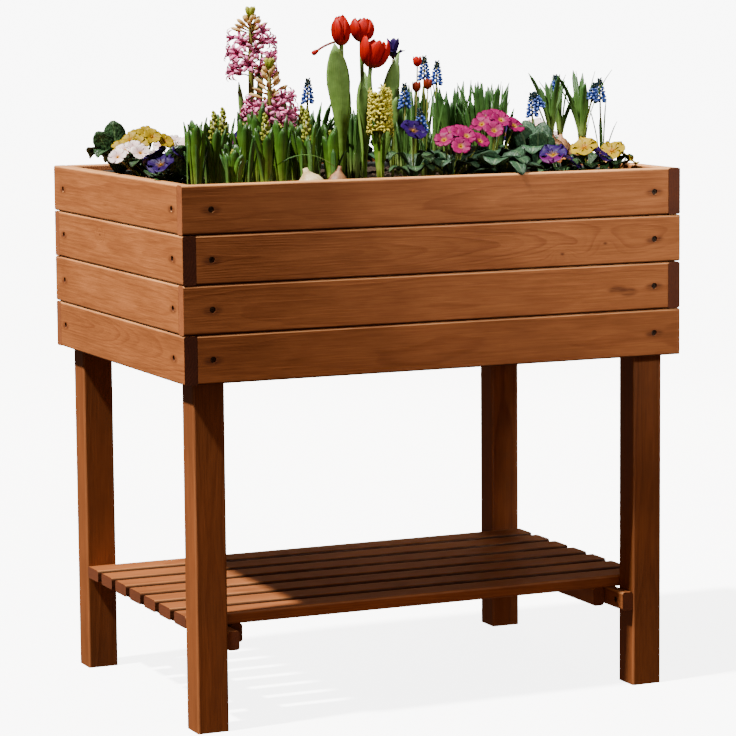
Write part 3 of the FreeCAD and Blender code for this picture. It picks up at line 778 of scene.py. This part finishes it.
def broad_material(name, dark, light, rib):
    graph = Graph(name, roughness=0.5, specular=0.35)
    veins = graph.cells(graph.marks(along=9.0, across=3.5, chance=40.0), 1.6)
    across = graph.math("ABSOLUTE", graph.mark("across"))
    colour = graph.mix(graph.span(veins, 0.15, 0.6), light, dark)
    colour = graph.mix(graph.span(across, 0.03, 0.11, 0.8, 0.0, SMOOTH), colour, rib)
    mottle = graph.noise(graph.place(), 70.0, 4.0)
    graph.out("Base Color", tinted(graph, graph.tint(colour, mottle, (0.3, 0.75), (0.7, 1.2))))
    graph.out("Roughness", graph.span(mottle, 0.3, 0.7, 0.42, 0.6))
    graph.bump(graph.times(veins, -1.0), 0.0012, 0.9)
    return graph.material


def petal_material(name, throat, middle, rim, streak=0.25):
    graph = Graph(name, roughness=0.5, specular=0.12)
    colour = graph.ramp(graph.mark("along"), (0.05, throat), (0.3, middle), (0.95, rim))
    lines = graph.noise(graph.marks(across=9.0, along=0.8, chance=30.0), 1.4, 3.0, 0.6)
    colour = graph.tint(colour, lines, (0.32, 1 - streak), (0.68, 1 + streak / 2))
    graph.out("Base Color", tinted(graph, colour, 0.15))
    graph.out("Roughness", graph.span(lines, 0.3, 0.7, 0.4, 0.55))
    graph.bump(lines, 0.0005, 0.6)
    return graph.material


def skin_material(name, dark, light):
    """Papery bulb skin, with fibres from root to neck."""
    graph = Graph(name, roughness=0.5, specular=0.4)
    fibres = graph.noise(graph.marks(across=16.0, along=2.0, chance=20.0), 1.0, 4.0, 0.65)
    patches = graph.noise(graph.place(), 60.0, 4.0)
    colour = graph.mix(graph.span(graph.plus(fibres, patches), 0.8, 1.2), dark, light)
    graph.out("Base Color", tinted(graph, colour, 0.15))
    graph.out("Roughness", graph.span(patches, 0.3, 0.7, 0.4, 0.65))
    graph.bump(fibres, 0.0006, 0.7)
    return graph.material


# Colours from a leaf's or petal's foot to its tip, then how striped or streaked it is. A broad
# leaf's are its dark, light and rib colours, and a bulb's are dark and light.
PLANT_COLOURS = (
    (strap_material, (
        ("shoot", (0.36, 0.40, 0.06), (0.100, 0.20, 0.012), (0.022, 0.075, 0.005)),
        ("strap", (0.20, 0.25, 0.06), (0.070, 0.150, 0.025), (0.022, 0.070, 0.014), 9.0),
        ("tulip_leaf", (0.11, 0.21, 0.02), (0.110, 0.205, 0.030), (0.105, 0.19, 0.045), 34.0),
        ("stalk", (0.16, 0.22, 0.02), (0.12, 0.18, 0.02), (0.15, 0.13, 0.025), 3.0),
        ("red_stalk", (0.09, 0.05, 0.01), (0.13, 0.012, 0.006), (0.16, 0.002, 0.001), 3.0),
    )),
    (broad_material, (
        ("dark_leaf", (0.009, 0.032, 0.007), (0.024, 0.068, 0.017), (0.060, 0.110, 0.035)),
        ("grey_leaf", (0.016, 0.048, 0.020), (0.034, 0.085, 0.038), (0.09, 0.14, 0.065)),
    )),
    (petal_material, (
        ("bud", (0.09, 0.15, 0.008), (0.20, 0.25, 0.02), (0.34, 0.32, 0.05), 0.35),
        ("peach", (0.20, 0.16, 0.015), (0.42, 0.24, 0.07), (0.62, 0.42, 0.16), 0.4),
        ("pink", (0.25, 0.02, 0.09), (0.60, 0.095, 0.25), (0.85, 0.30, 0.48), 0.4),
        ("cream", (0.20, 0.20, 0.005), (0.46, 0.40, 0.03), (0.56, 0.50, 0.08), 0.3),
        ("red", (0.30, 0.026, 0.0), (0.29, 0.0022, 0.0), (0.34, 0.0022, 0.0), 0.3),
        ("orange", (0.16, 0.05, 0.0), (0.18, 0.016, 0.001), (0.14, 0.010, 0.001), 0.35),
        ("violet", (0.10, 0.04, 0.01), (0.010, 0.0006, 0.045), (0.013, 0.0006, 0.055), 0.45),
        ("blue", (0.010, 0.022, 0.16), (0.018, 0.045, 0.25), (0.10, 0.16, 0.44), 0.3),
        ("dusk", (0.015, 0.035, 0.08), (0.014, 0.032, 0.05), (0.012, 0.026, 0.02), 0.3),
        ("magenta", (0.35, 0.19, 0.0), (0.15, 0.0006, 0.042), (0.18, 0.0008, 0.060), 0.35),
        ("purple", (0.35, 0.19, 0.0), (0.060, 0.0004, 0.050), (0.080, 0.0006, 0.070), 0.35),
        ("yellow", (0.22, 0.07, 0.0), (0.23, 0.145, 0.0), (0.27, 0.185, 0.0), 0.22),
        ("blush", (0.60, 0.30, 0.03), (0.60, 0.40, 0.40), (0.78, 0.66, 0.62), 0.25),
        ("eye", (0.30, 0.13, 0.0), (0.34, 0.18, 0.0), (0.30, 0.12, 0.0), 0.3),
    )),
    (skin_material, (
        ("onion", (0.42, 0.25, 0.08), (0.80, 0.66, 0.36)),
        ("brown", (0.085, 0.028, 0.008), (0.30, 0.14, 0.055)),
    )),
)


# ---------------------------------------------------------------- plants

def tuft(growth, foot, draw, count, height, reach, width, material, gather=0.006, shape=STRAP, curl=0.6):
    """Upright narrow leaves from one foot."""
    for number in range(count):
        heading = number * GOLDEN + draw.uniform(-0.4, 0.4)
        outward = compass(heading)
        tall = height * draw.uniform(0.66, 1.0)
        lean = reach * draw.uniform(0.15, 1.0)
        start = foot + outward * gather * draw.uniform(0.2, 1.0)
        spine = (start, start + outward * lean * 0.15 + UP * tall * 0.55, foot + outward * lean + UP * tall)
        side = compass(heading + math.pi / 2 + draw.uniform(-0.7, 0.7))
        growth.blade(spine, 9, side, shape, width * draw.uniform(0.75, 1.15), material, curl=curl,
                     chance=draw.random())


def broad_leaf(growth, spine, count, side, width, waves, material, curl, frill, chance):
    growth.blade(spine, count, side, BROAD, width, material, curl=curl, across=7, frill=frill,
                 waves=waves, thick=0.0006, chance=chance)


def rosette(growth, foot, draw, count, reach, height, width, material, steep=0.5, start=0.0):
    """Broad crinkled leaves that rise and spread from one foot, and clear the walls."""
    for number in range(count):
        heading = start + number * ROUND / count + draw.uniform(-0.3, 0.3)
        outward = compass(heading)
        long = reach * draw.uniform(0.8, 1.1)
        tall = height * draw.uniform(0.55, 1.0)
        for side, limit in enumerate(OVERHANG):
            past = abs(foot[side] + outward[side] * long)
            if past > limit:
                long *= (limit - abs(foot[side])) / (past - abs(foot[side]))
        tip = np.abs(foot + outward * long)
        if tip[0] > INSIDE[0] - 0.006 or tip[1] > INSIDE[1] - 0.006:
            tall = max(tall, (RIM - foot[2] + 0.012) / 0.72)
        spine = (foot + UP * 0.002, foot + outward * long * (1 - steep) * 0.5 + UP * tall * 0.9,
                 foot + outward * long * 0.8 + UP * tall * 1.1, foot + outward * long + UP * tall * 0.72)
        broad_leaf(growth, spine, 11, compass(heading + math.pi / 2), width * draw.uniform(0.8, 1.1), 2.6,
                   material, 0.5, 0.09, draw.random())


def flower(growth, centre, face, draw, material, size, wide=0.95, notch=0.0, eye=0.10, dish=0.18, frill=0.14,
           second=None):
    """An open flower of five flat petals round an eye, looking along face."""
    face = unit(face)
    right = unit(np.cross(UP, face) if abs(face[2]) < 0.95 else np.array((1.0, 0, 0)))
    top = np.cross(face, right)
    turn = draw.uniform(-0.2, 0.2)
    rise = size * dish
    for number in range(5):
        angle = math.pi / 2 + turn + number * ROUND / 5
        outward = right * math.cos(angle) + top * math.sin(angle)
        long = size / 2 * draw.uniform(0.92, 1.06)
        spine = (centre + outward * long * 0.06, centre + outward * long * 0.5 + face * rise * 0.7,
                 centre + outward * long + face * (rise * draw.uniform(0.3, 0.9) + 0.0006 * (number % 2)))
        kind = second if second and number in (0, 1, 4) else material
        growth.blade(spine, 8, np.cross(face, outward), PETAL, size / 2 * wide, kind, curl=0.25, across=7,
                     frill=frill, waves=1.5, notch=notch, thick=0.0004, chance=draw.random())
    boss = ((0, size * 0.03), (0.6, size * eye * 0.6), (1, size * 0.02))
    growth.body(centre - face * 0.002, face, 0.005, boss, "eye", chance=draw.random())


def flower_stalk(growth, foot, centre, draw):
    spine = bezier((foot, foot * 0.4 + centre * 0.6 - UP * 0.004, centre), 6)
    growth.stem(spine, 0.0012, "stalk", 5, draw.random())


def shoot(growth, place, draw, bare):
    """A hyacinth before it flowers: hooded leaves round a spike of green buds."""
    foot, radius, height = place
    for number in range(7):
        heading = number * ROUND / 7 + draw.uniform(-0.3, 0.3)
        outward = compass(heading)
        tall = height * draw.uniform(0.78, 1.0) * (0.88 if bare else 1)
        out = radius * draw.uniform(0.7, 1.45)
        start = foot + outward * radius * 0.42
        spine = (start, start + outward * radius * 0.35 + UP * tall * 0.5, foot + outward * out + UP * tall)
        side = compass(heading + math.pi / 2 + draw.uniform(-0.2, 0.2))
        growth.blade(spine, 11, side, HOOD, 0.021 * draw.uniform(0.85, 1.1), "shoot", curl=HOOD_ROLL,
                     thick=0.0009, chance=draw.random())
    low, high = (0.58, 1.0) if bare else (0.45, 0.84)
    growth.stem(bezier((foot, foot + UP * height * high * 0.9), 4), 0.0035, "stalk", 6)
    buds = 26
    for number in range(buds):
        share = number / (buds - 1)
        outward = compass(number * GOLDEN)
        waist = 0.0072 * (1 - 0.75 * share ** 1.6)
        base = foot + UP * height * (low + (high - low) * share * 0.93) + outward * waist * 0.55
        axis = outward * (0.9 - 0.6 * share) + UP * (0.7 + share)
        growth.body(base, axis, 0.0088 * (1 - 0.35 * share), SHOOT_BUD, "bud", 6, draw.random())


def floret(growth, centre, axis, size, draw, material, open_by):
    """A hyacinth bell: a tube that ends in six petals, rolled back as far as open_by says."""
    axis = unit(axis)
    across = unit(np.cross(axis, UP if abs(axis[2]) < 0.9 else np.array((1.0, 0, 0))))
    other = np.cross(axis, across)
    tube = ((0, size * 0.06), (0.3, size * 0.15), (0.8, size * 0.11), (1, size * 0.13))
    growth.body(centre, axis, size * 0.55, tube, material, 6, draw.random())
    turn = draw.uniform(0, 1)
    for number in range(6):
        angle = turn + number * ROUND / 6
        outward = across * math.cos(angle) + other * math.sin(angle)
        spine = [centre + axis * size * up + outward * size * out * (0.35 + 0.65 * open_by)
                 for out, up in ((0.10, 0.42), (0.12, 0.80), (0.55, 1.12), (0.72, 1.0 - 0.35 * open_by))]
        growth.blade(spine, 6, np.cross(axis, outward), FLORET, size * 0.27, material, across=3,
                     chance=draw.random())


def hyacinth(growth, place, draw, material, start, bloom_top, reach, size, budded):
    """A flowering spike. start and bloom_top are the shares of its height that florets fill."""
    foot, radius, height = place
    radii = profile(6, (0, 0.0055), (0.7, 0.0042), (1, 0.0022))
    growth.stem(bezier((foot, foot + UP * height * 0.97), 6), radii, "stalk", 8)
    count = round(0.62 / size)
    for number in range(count):
        share = number / (count - 1)
        outward = compass(number * GOLDEN)
        level = start + (bloom_top - start) * share
        droop = draw.uniform(-0.15, 0.45)
        neck = foot + UP * height * level + outward * 0.004
        head = neck + (outward + UP * droop) * (reach - size * 0.8) * draw.uniform(0.55, 1.0)
        growth.stem(bezier((neck, (neck + head) / 2 + UP * 0.002, head), 4), 0.0011, "stalk", 5)
        floret(growth, head, outward + UP * (droop - 0.1), size * (1 - 0.15 * share), draw, material,
               draw.uniform(0.6, 1))
    if not budded:
        return
    buds = 20
    for number in range(buds):
        share = number / (buds - 1)
        outward = compass(number * GOLDEN)
        level = bloom_top + (0.90 - bloom_top) * share
        axis = outward * (1 - 0.5 * share) + UP * (0.25 + 0.7 * share)
        growth.body(foot + UP * height * level, axis, reach * (0.95 - 0.5 * share), SIDE_BUD, "peach", 6,
                    draw.random())
    for number in range(7):
        growth.body(foot + UP * height * 0.92, compass(number * GOLDEN) * 0.32 + UP, 0.021, TOP_BUD, "bud",
                    6, draw.random())


def tulip(growth, place, draw, opening, lean, leaves, offset=(0, 0, 0), cup=0.045):
    """A red cup on a stem, with broad leaves. opening is 0 for a closed cup and 1 for a wide one."""
    foot, radius, height = place
    axis = unit(UP + np.array((*lean, 0.0)))
    base = foot + UP * (height - cup * 0.95) + np.array(offset)
    spine = bezier((foot, foot + UP * height * 0.45, base - axis * 0.03, base), 8)
    growth.stem(spine, 0.0034, "tulip_leaf", 7)
    right = unit(np.cross(axis, np.array((0.0, 1.0, 0.0))))
    front = np.cross(axis, right)
    for number in range(6):
        angle = number * ROUND / 6 + 0.35
        inner = number % 2
        outward = right * math.cos(angle) + front * math.sin(angle)
        wide = (0.0155 + 0.015 * opening) * (0.84 if inner else 1)
        mouth = 0.004 + 0.030 * opening * draw.uniform(0.6, 1.3)
        spine = [base + outward * out + axis * up * draw.uniform(0.95, 1.05) for out, up in
                 ((0.001, 0), (wide * 1.05, 0.001), (wide * 1.15, cup * 0.75), (mouth, cup))]
        growth.blade(spine, 11, np.cross(axis, outward), CUP, 0.033 if inner else 0.029, "red",
                     curl=profile(11, (0, 1.1), (1, 0.7)), across=9, thick=0.0006, frill=0.02, waves=1.0,
                     chance=draw.random())
    growth.body(base, axis, 0.02, ((0, 0.003), (0.7, 0.003), (1, 0.002)), "bud", 6)
    for sideways, away, tall, width in leaves:
        spine = (foot, foot + np.array((sideways * 0.1, away * 0.6, tall * 0.5)),
                 foot + np.array((sideways, away, tall)))
        side = compass(LEFT_TO_RIGHT + draw.uniform(-0.25, 0.25))
        growth.blade(spine, 15, side, TULIP_LEAF, width, "tulip_leaf", curl=profile(15, (0, 1.0), (1, 0.35)),
                     across=9, thick=0.0009, frill=0.12, waves=1.4, chance=draw.random())


def bell_spike(growth, foot, top, draw, thick=0.0105, long=0.034):
    """A grape hyacinth: a stalk with a spike of small bells, closed and dusky at the top."""
    growth.stem(bezier((foot, foot * 0.35 + top * 0.65 - UP * 0.01, top), 8), 0.0015, "stalk", 5)
    axis = unit(top - foot)
    across = unit(np.cross(axis, (0.3, 0.9, 0.1)))
    other = np.cross(axis, across)
    count = 44
    for number in range(count):
        share = number / (count - 1)
        angle = number * GOLDEN
        outward = across * math.cos(angle) + other * math.sin(angle)
        waist = thick * (0.85 - 0.72 * share ** 1.3)
        size = 0.0078 * (1 - 0.5 * share)
        base = top - axis * long * (1 - share * 0.98) + outward * waist * 0.35
        way = outward + axis * (-0.35 + 1.3 * share)
        material = "dusk" if share > 0.66 else "blue"
        bell = ((0, 0.0005), (0.35, size * 0.34), (0.75, size * 0.33), (0.92, size * 0.20), (1, size * 0.24))
        growth.body(base, way, size, bell, material, 6, draw.random())


def bulb(growth, foot, radius, height, draw, material, lean=(0, 0)):
    axis = UP + np.array((*lean, 0.0))
    outline = [(share, radius * wide) for share, wide in BULB]
    growth.body(foot, axis, height, outline, material, 20, draw.random())


# Each function below fills one planting piece, from the places of its CAD node's solids

def plant_shoots(growth, draw, found):
    for number, place in enumerate(found):
        shoot(growth, place, draw, bare=number % 3 == 1)
        tuft(growth, place[0], draw, 5, place[2] * 0.8, 0.034, 0.009, "strap", gather=0.018)


def plant_hyacinths(growth, draw, found):
    tall, short, pale = sorted(found, key=lambda place: -place[2])
    hyacinth(growth, tall, draw, "pink", 0.60, 0.84, 0.036, 0.025, budded=True)
    hyacinth(growth, short, draw, "pink", 0.52, 0.68, 0.038, 0.025, budded=True)
    hyacinth(growth, pale, draw, "cream", 0.56, 0.97, 0.013, 0.0165, budded=False)
    for place in (tall, short, pale):
        tall_leaf = min(0.125, place[2] * 0.75)
        tuft(growth, place[0], draw, 5, tall_leaf, 0.02, 0.017, "shoot", shape=HOOD, curl=0.9)
    for (foot, _, _), sideways, level in ((tall, -0.020, 0.155), (tall, 0.018, 0.20), (short, 0.026, 0.150)):
        way = np.array((sideways, 0, 0))
        growth.blade((foot, foot + way * 0.6 + UP * level * 0.5, foot + way + UP * level), 11,
                     compass(LEFT_TO_RIGHT), HOOD, 0.012, "tulip_leaf", curl=0.9, chance=draw.random())


def plant_tulips(growth, draw, found):
    tall, middle, low = sorted(found, key=lambda place: -place[2])
    tulip(growth, tall, draw, 0.06, (-0.04, 0), ((-0.020, -0.02, 0.210, 0.040), (0.012, 0.01, 0.155, 0.026)))
    tulip(growth, middle, draw, 0.35, (0.06, 0.05),
          ((0.010, 0.02, 0.165, 0.026), (-0.012, -0.02, 0.15, 0.020)), offset=(-0.004, 0, 0), cup=0.036)
    tulip(growth, low, draw, 0.62, (0.22, -0.08),
          ((0.022, -0.02, 0.190, 0.028), (0.044, 0.02, 0.196, 0.018), (0.016, -0.03, 0.130, 0.022)),
          offset=(-0.013, 0, -0.006))

    # A spent flower stalk hooked out to the left, and small flowers behind on stalks of their own
    neck = tall[0] + np.array((-0.006, 0, tall[2] - 0.036))
    knob = neck + np.array((-0.034, 0, -0.014))
    growth.stem(bezier((neck, neck + np.array((-0.020, 0, -0.004)), knob), 7), 0.0019, "red_stalk", 6)
    growth.body(knob + np.array((0.002, 0, 0.001)), (-1, 0, -0.55), 0.011,
                ((0, 0.0019), (0.4, 0.0036), (0.8, 0.0042), (1, 0.0028)), "red", 7)
    behind = low[0] + np.array((0.042, 0.045, 0))
    iris = behind + np.array((0.003, 0, 0.184))
    growth.stem(bezier((behind, behind + UP * 0.1 + compass(0) * 0.004, iris), 7), 0.0022, "stalk", 6)
    for number in range(6):
        heading = number * ROUND / 6
        outward = compass(heading)
        rise, out = (0.032, 0.010) if number % 2 else (0.012, 0.019)
        spine = (iris, iris + outward * out * 0.8 + UP * 0.014, iris + outward * out + UP * rise)
        growth.blade(spine, 8, compass(heading + math.pi / 2), PETAL, 0.016, "violet", curl=0.7, across=7,
                     frill=0.15, chance=draw.random())
    for x, y, level, material in ((0.072, 0.030, 0.134, "orange"), (0.080, 0.044, 0.172, "red"),
                                  (0.086, 0.020, 0.138, "orange")):
        foot = low[0] + np.array((x, y, 0))
        top = foot + np.array((0.003, -0.004, level))
        flower_stalk(growth, foot, top, draw)
        for number in range(5):
            heading = number * ROUND / 5
            outward = compass(heading)
            spine = (top, top + outward * 0.009 + UP * 0.002, top + outward * 0.006 + UP * 0.016)
            growth.blade(spine, 7, compass(heading + math.pi / 2), PETAL, 0.011, material, curl=0.9,
                         chance=draw.random())


def plant_bells(growth, draw, found):
    for foot, radius, height in found:
        lean = compass(draw.uniform(0, ROUND)) * draw.uniform(0.004, 0.014)
        bell_spike(growth, foot, foot + lean + UP * height, draw)
        tuft(growth, foot, draw, 5, height * 0.8, 0.03, 0.006, "strap", gather=0.003)


def plant_straps(growth, draw, found):
    for foot, radius, height in found:
        tuft(growth, foot, draw, 42, height, radius * 1.8, 0.0095, "strap", gather=radius, curl=0.4)


# The flowers of each clump that has any, by its number from the left: their colours, and how far
# they lean from its middle
STRAIGHT = (0.0, 0.0, 0.0)
LEAVES_ONLY = ((), STRAIGHT)
PRIMROSES = {
    1: (("yellow",) * 10, (0.012, 0, -0.012)),
    2: (("blush",) * 7, (-0.022, 0.040, -0.024)),
    3: (("blush",) * 4, (-0.010, 0, -0.014)),
    6: (("magenta",) * 8, (0.014, 0, -0.010)),
    8: (("magenta",) * 9, (0.006, 0, -0.008)),
}
PANSIES = {
    1: (("violet",) * 4, (-0.026, -0.048, -0.014)),
    2: (("blush",) * 2, STRAIGHT),
    3: (("purple",) * 3, STRAIGHT),
    5: (("violet",), (-0.012, 0, -0.008)),
    7: (("purple", "violet"), (-0.006, -0.004, -0.018)),
    8: (("yellow", "violet"), (0.0, -0.004, -0.022)),
    9: (("violet",) * 3, STRAIGHT),
    10: (("blush",) * 2, STRAIGHT),
    11: (("yellow",) * 2, (0.0, -0.004, -0.020)),
}
OVERHANGING_CLUMP = 7


def upright_leaf(growth, foot, tip, width, draw, material):
    """One broad leaf that stands with its face to the front."""
    side = compass(LEFT_TO_RIGHT + draw.uniform(-0.3, 0.3))
    broad_leaf(growth, (foot, (foot + tip) / 2 + UP * 0.01, tip), 11, side, width, 1.6, material, 0.35, 0.08,
               draw.random())


def plant_primroses(growth, draw, found):
    for number, (foot, radius, height) in enumerate(found):
        colours, lean = PRIMROSES.get(number, LEAVES_ONLY)
        kind = "grey_leaf" if foot[0] > 0 else "dark_leaf"
        rosette(growth, foot, draw, 9, radius * 1.6, height * 0.62, 0.040, kind, steep=0.6)
        if number == 0:
            for sideways, level in ((-0.036, 0.078), (-0.010, 0.094)):
                upright_leaf(growth, foot, foot + np.array((sideways, 0, level)), 0.036, draw, kind)
        elif not colours:
            for heading in (0.3, 1.4, 2.6, 3.6, 4.7, 5.6):
                tip = foot + compass(heading) * radius * 1.1 + UP * height * draw.uniform(0.70, 0.92)
                upright_leaf(growth, foot, tip - compass(0) * 0.012, 0.034, draw, kind)
        if number == OVERHANGING_CLUMP:
            over = [foot + np.array(step) for step in ((0, 0, 0), (-0.006, -0.022, 0.050),
                                                       (-0.003, -0.050, 0.042), (-0.001, -0.0615, 0.018))]
            broad_leaf(growth, over, 13, compass(0), 0.026, 1.5, kind, 0.3, 0.06, 0.4)
        for each, colour in enumerate(colours):
            share = each / len(colours)
            outward = compass(each * GOLDEN + draw.uniform(-0.2, 0.2)) * share ** 0.5
            centre = foot + outward * radius * 1.05 + UP * height * (1.0 - 0.25 * share) + lean
            flower_stalk(growth, foot, centre, draw)
            face = outward * 0.5 + np.array((-0.15, -0.5, 0.7))
            flower(growth, centre, face, draw, colour, 0.031, notch=0.22, wide=1.05)


def plant_pansies(growth, draw, found):
    for number, (foot, radius, height) in enumerate(found):
        colours, lean = PANSIES.get(number, LEAVES_ONLY)
        tall = height * (0.62 if number > 1 else 0.42)
        rosette(growth, foot, draw, 9, radius * 1.25, tall, 0.027, "dark_leaf")
        if number == 0:
            upright_leaf(growth, foot, foot + np.array((-0.004, -0.014, 0.070)), 0.046, draw, "dark_leaf")
        elif not colours:
            rosette(growth, foot, draw, 4, radius * 0.8, height, 0.040, "dark_leaf", steep=0.9, start=0.7)
        for each, colour in enumerate(colours):
            apart = (each - (len(colours) - 1) / 2) * 1.7
            outward = compass(-math.pi / 2 + apart + draw.uniform(-0.2, 0.2))
            centre = foot + outward * radius * 0.6 + UP * height * (1.0 - 0.16 * (each % 2)) + lean
            flower_stalk(growth, foot, centre, draw)
            flower(growth, centre, outward * 0.6 + UP * 0.75, draw, colour, 0.042, wide=1.35, eye=0.09,
                   dish=0.10, frill=0.30, second="violet" if colour == "purple" else None)


def plant_bulbs(growth, draw, found):
    left, right = found
    bulb(growth, left[0] - UP * 0.006, 0.021, 0.044, draw, "onion", (-0.35, 0))
    bulb(growth, right[0] - UP * 0.006, 0.016, 0.044, draw, "brown", (0.2, 0.05))
    neck = right[0] + UP * 0.036
    tip = left[0] + np.array((-0.055, 0.010, 0.040))
    growth.blade((neck, (neck + tip) / 2 + UP * 0.034, tip), 10, (0, 1, 0), STRAP, 0.004, "strap", across=3)


# Where the bulbs of the clump sit from its middle, and how high
CLUMPED_BULBS = (
    (-0.024, -0.008, 0.036),
    (0.012, -0.014, 0.026),
    (0.0, 0.016, 0.034),
    (0.028, 0.008, 0.030),
)


def plant_clump(growth, draw, found):
    foot, radius, height = found[0]
    for number, (x, y, level) in enumerate(CLUMPED_BULBS):
        base = foot + np.array((x, y, level))
        bulb(growth, base - UP * 0.004, 0.017, 0.036, draw, "brown", (x * 6, y * 4))
        neck = base + UP * 0.030 + np.array((x, y, 0)) * 0.3
        tuft(growth, neck, draw, 8, height - level - 0.03, 0.046, 0.0095, "strap", gather=0.003, curl=0.35)
        if number < 3:
            tall = (height - level - 0.035) * (0.70, 0.85, 0.95)[number]
            bell_spike(growth, neck, neck + np.array((x * 1.4, y, 0)) + UP * tall, draw, 0.0075, 0.024)


PLANTING = {
    "hyacinth_shoots": plant_shoots,
    "hyacinths": plant_hyacinths,
    "tulips": plant_tulips,
    "grape_hyacinths": plant_bells,
    "strap_leaves": plant_straps,
    "primroses": plant_primroses,
    "pansies": plant_pansies,
    "bulbs": plant_bulbs,
    "bulb_clump": plant_clump,
}
FIRST_SEED = 11


make_camera()
make_lights()
make_backdrop()
make_floor()
dress_timber()
dress_screws()
make_liner()
make_soil()
plant_materials = {name: make(name, *looks) for make, kinds in PLANT_COLOURS for name, *looks in kinds}
for seed, (node, plant) in enumerate(PLANTING.items(), FIRST_SEED):
    growth = Growth(node, plant_materials)
    plant(growth, random.Random(seed), places(node))
    growth.finish()
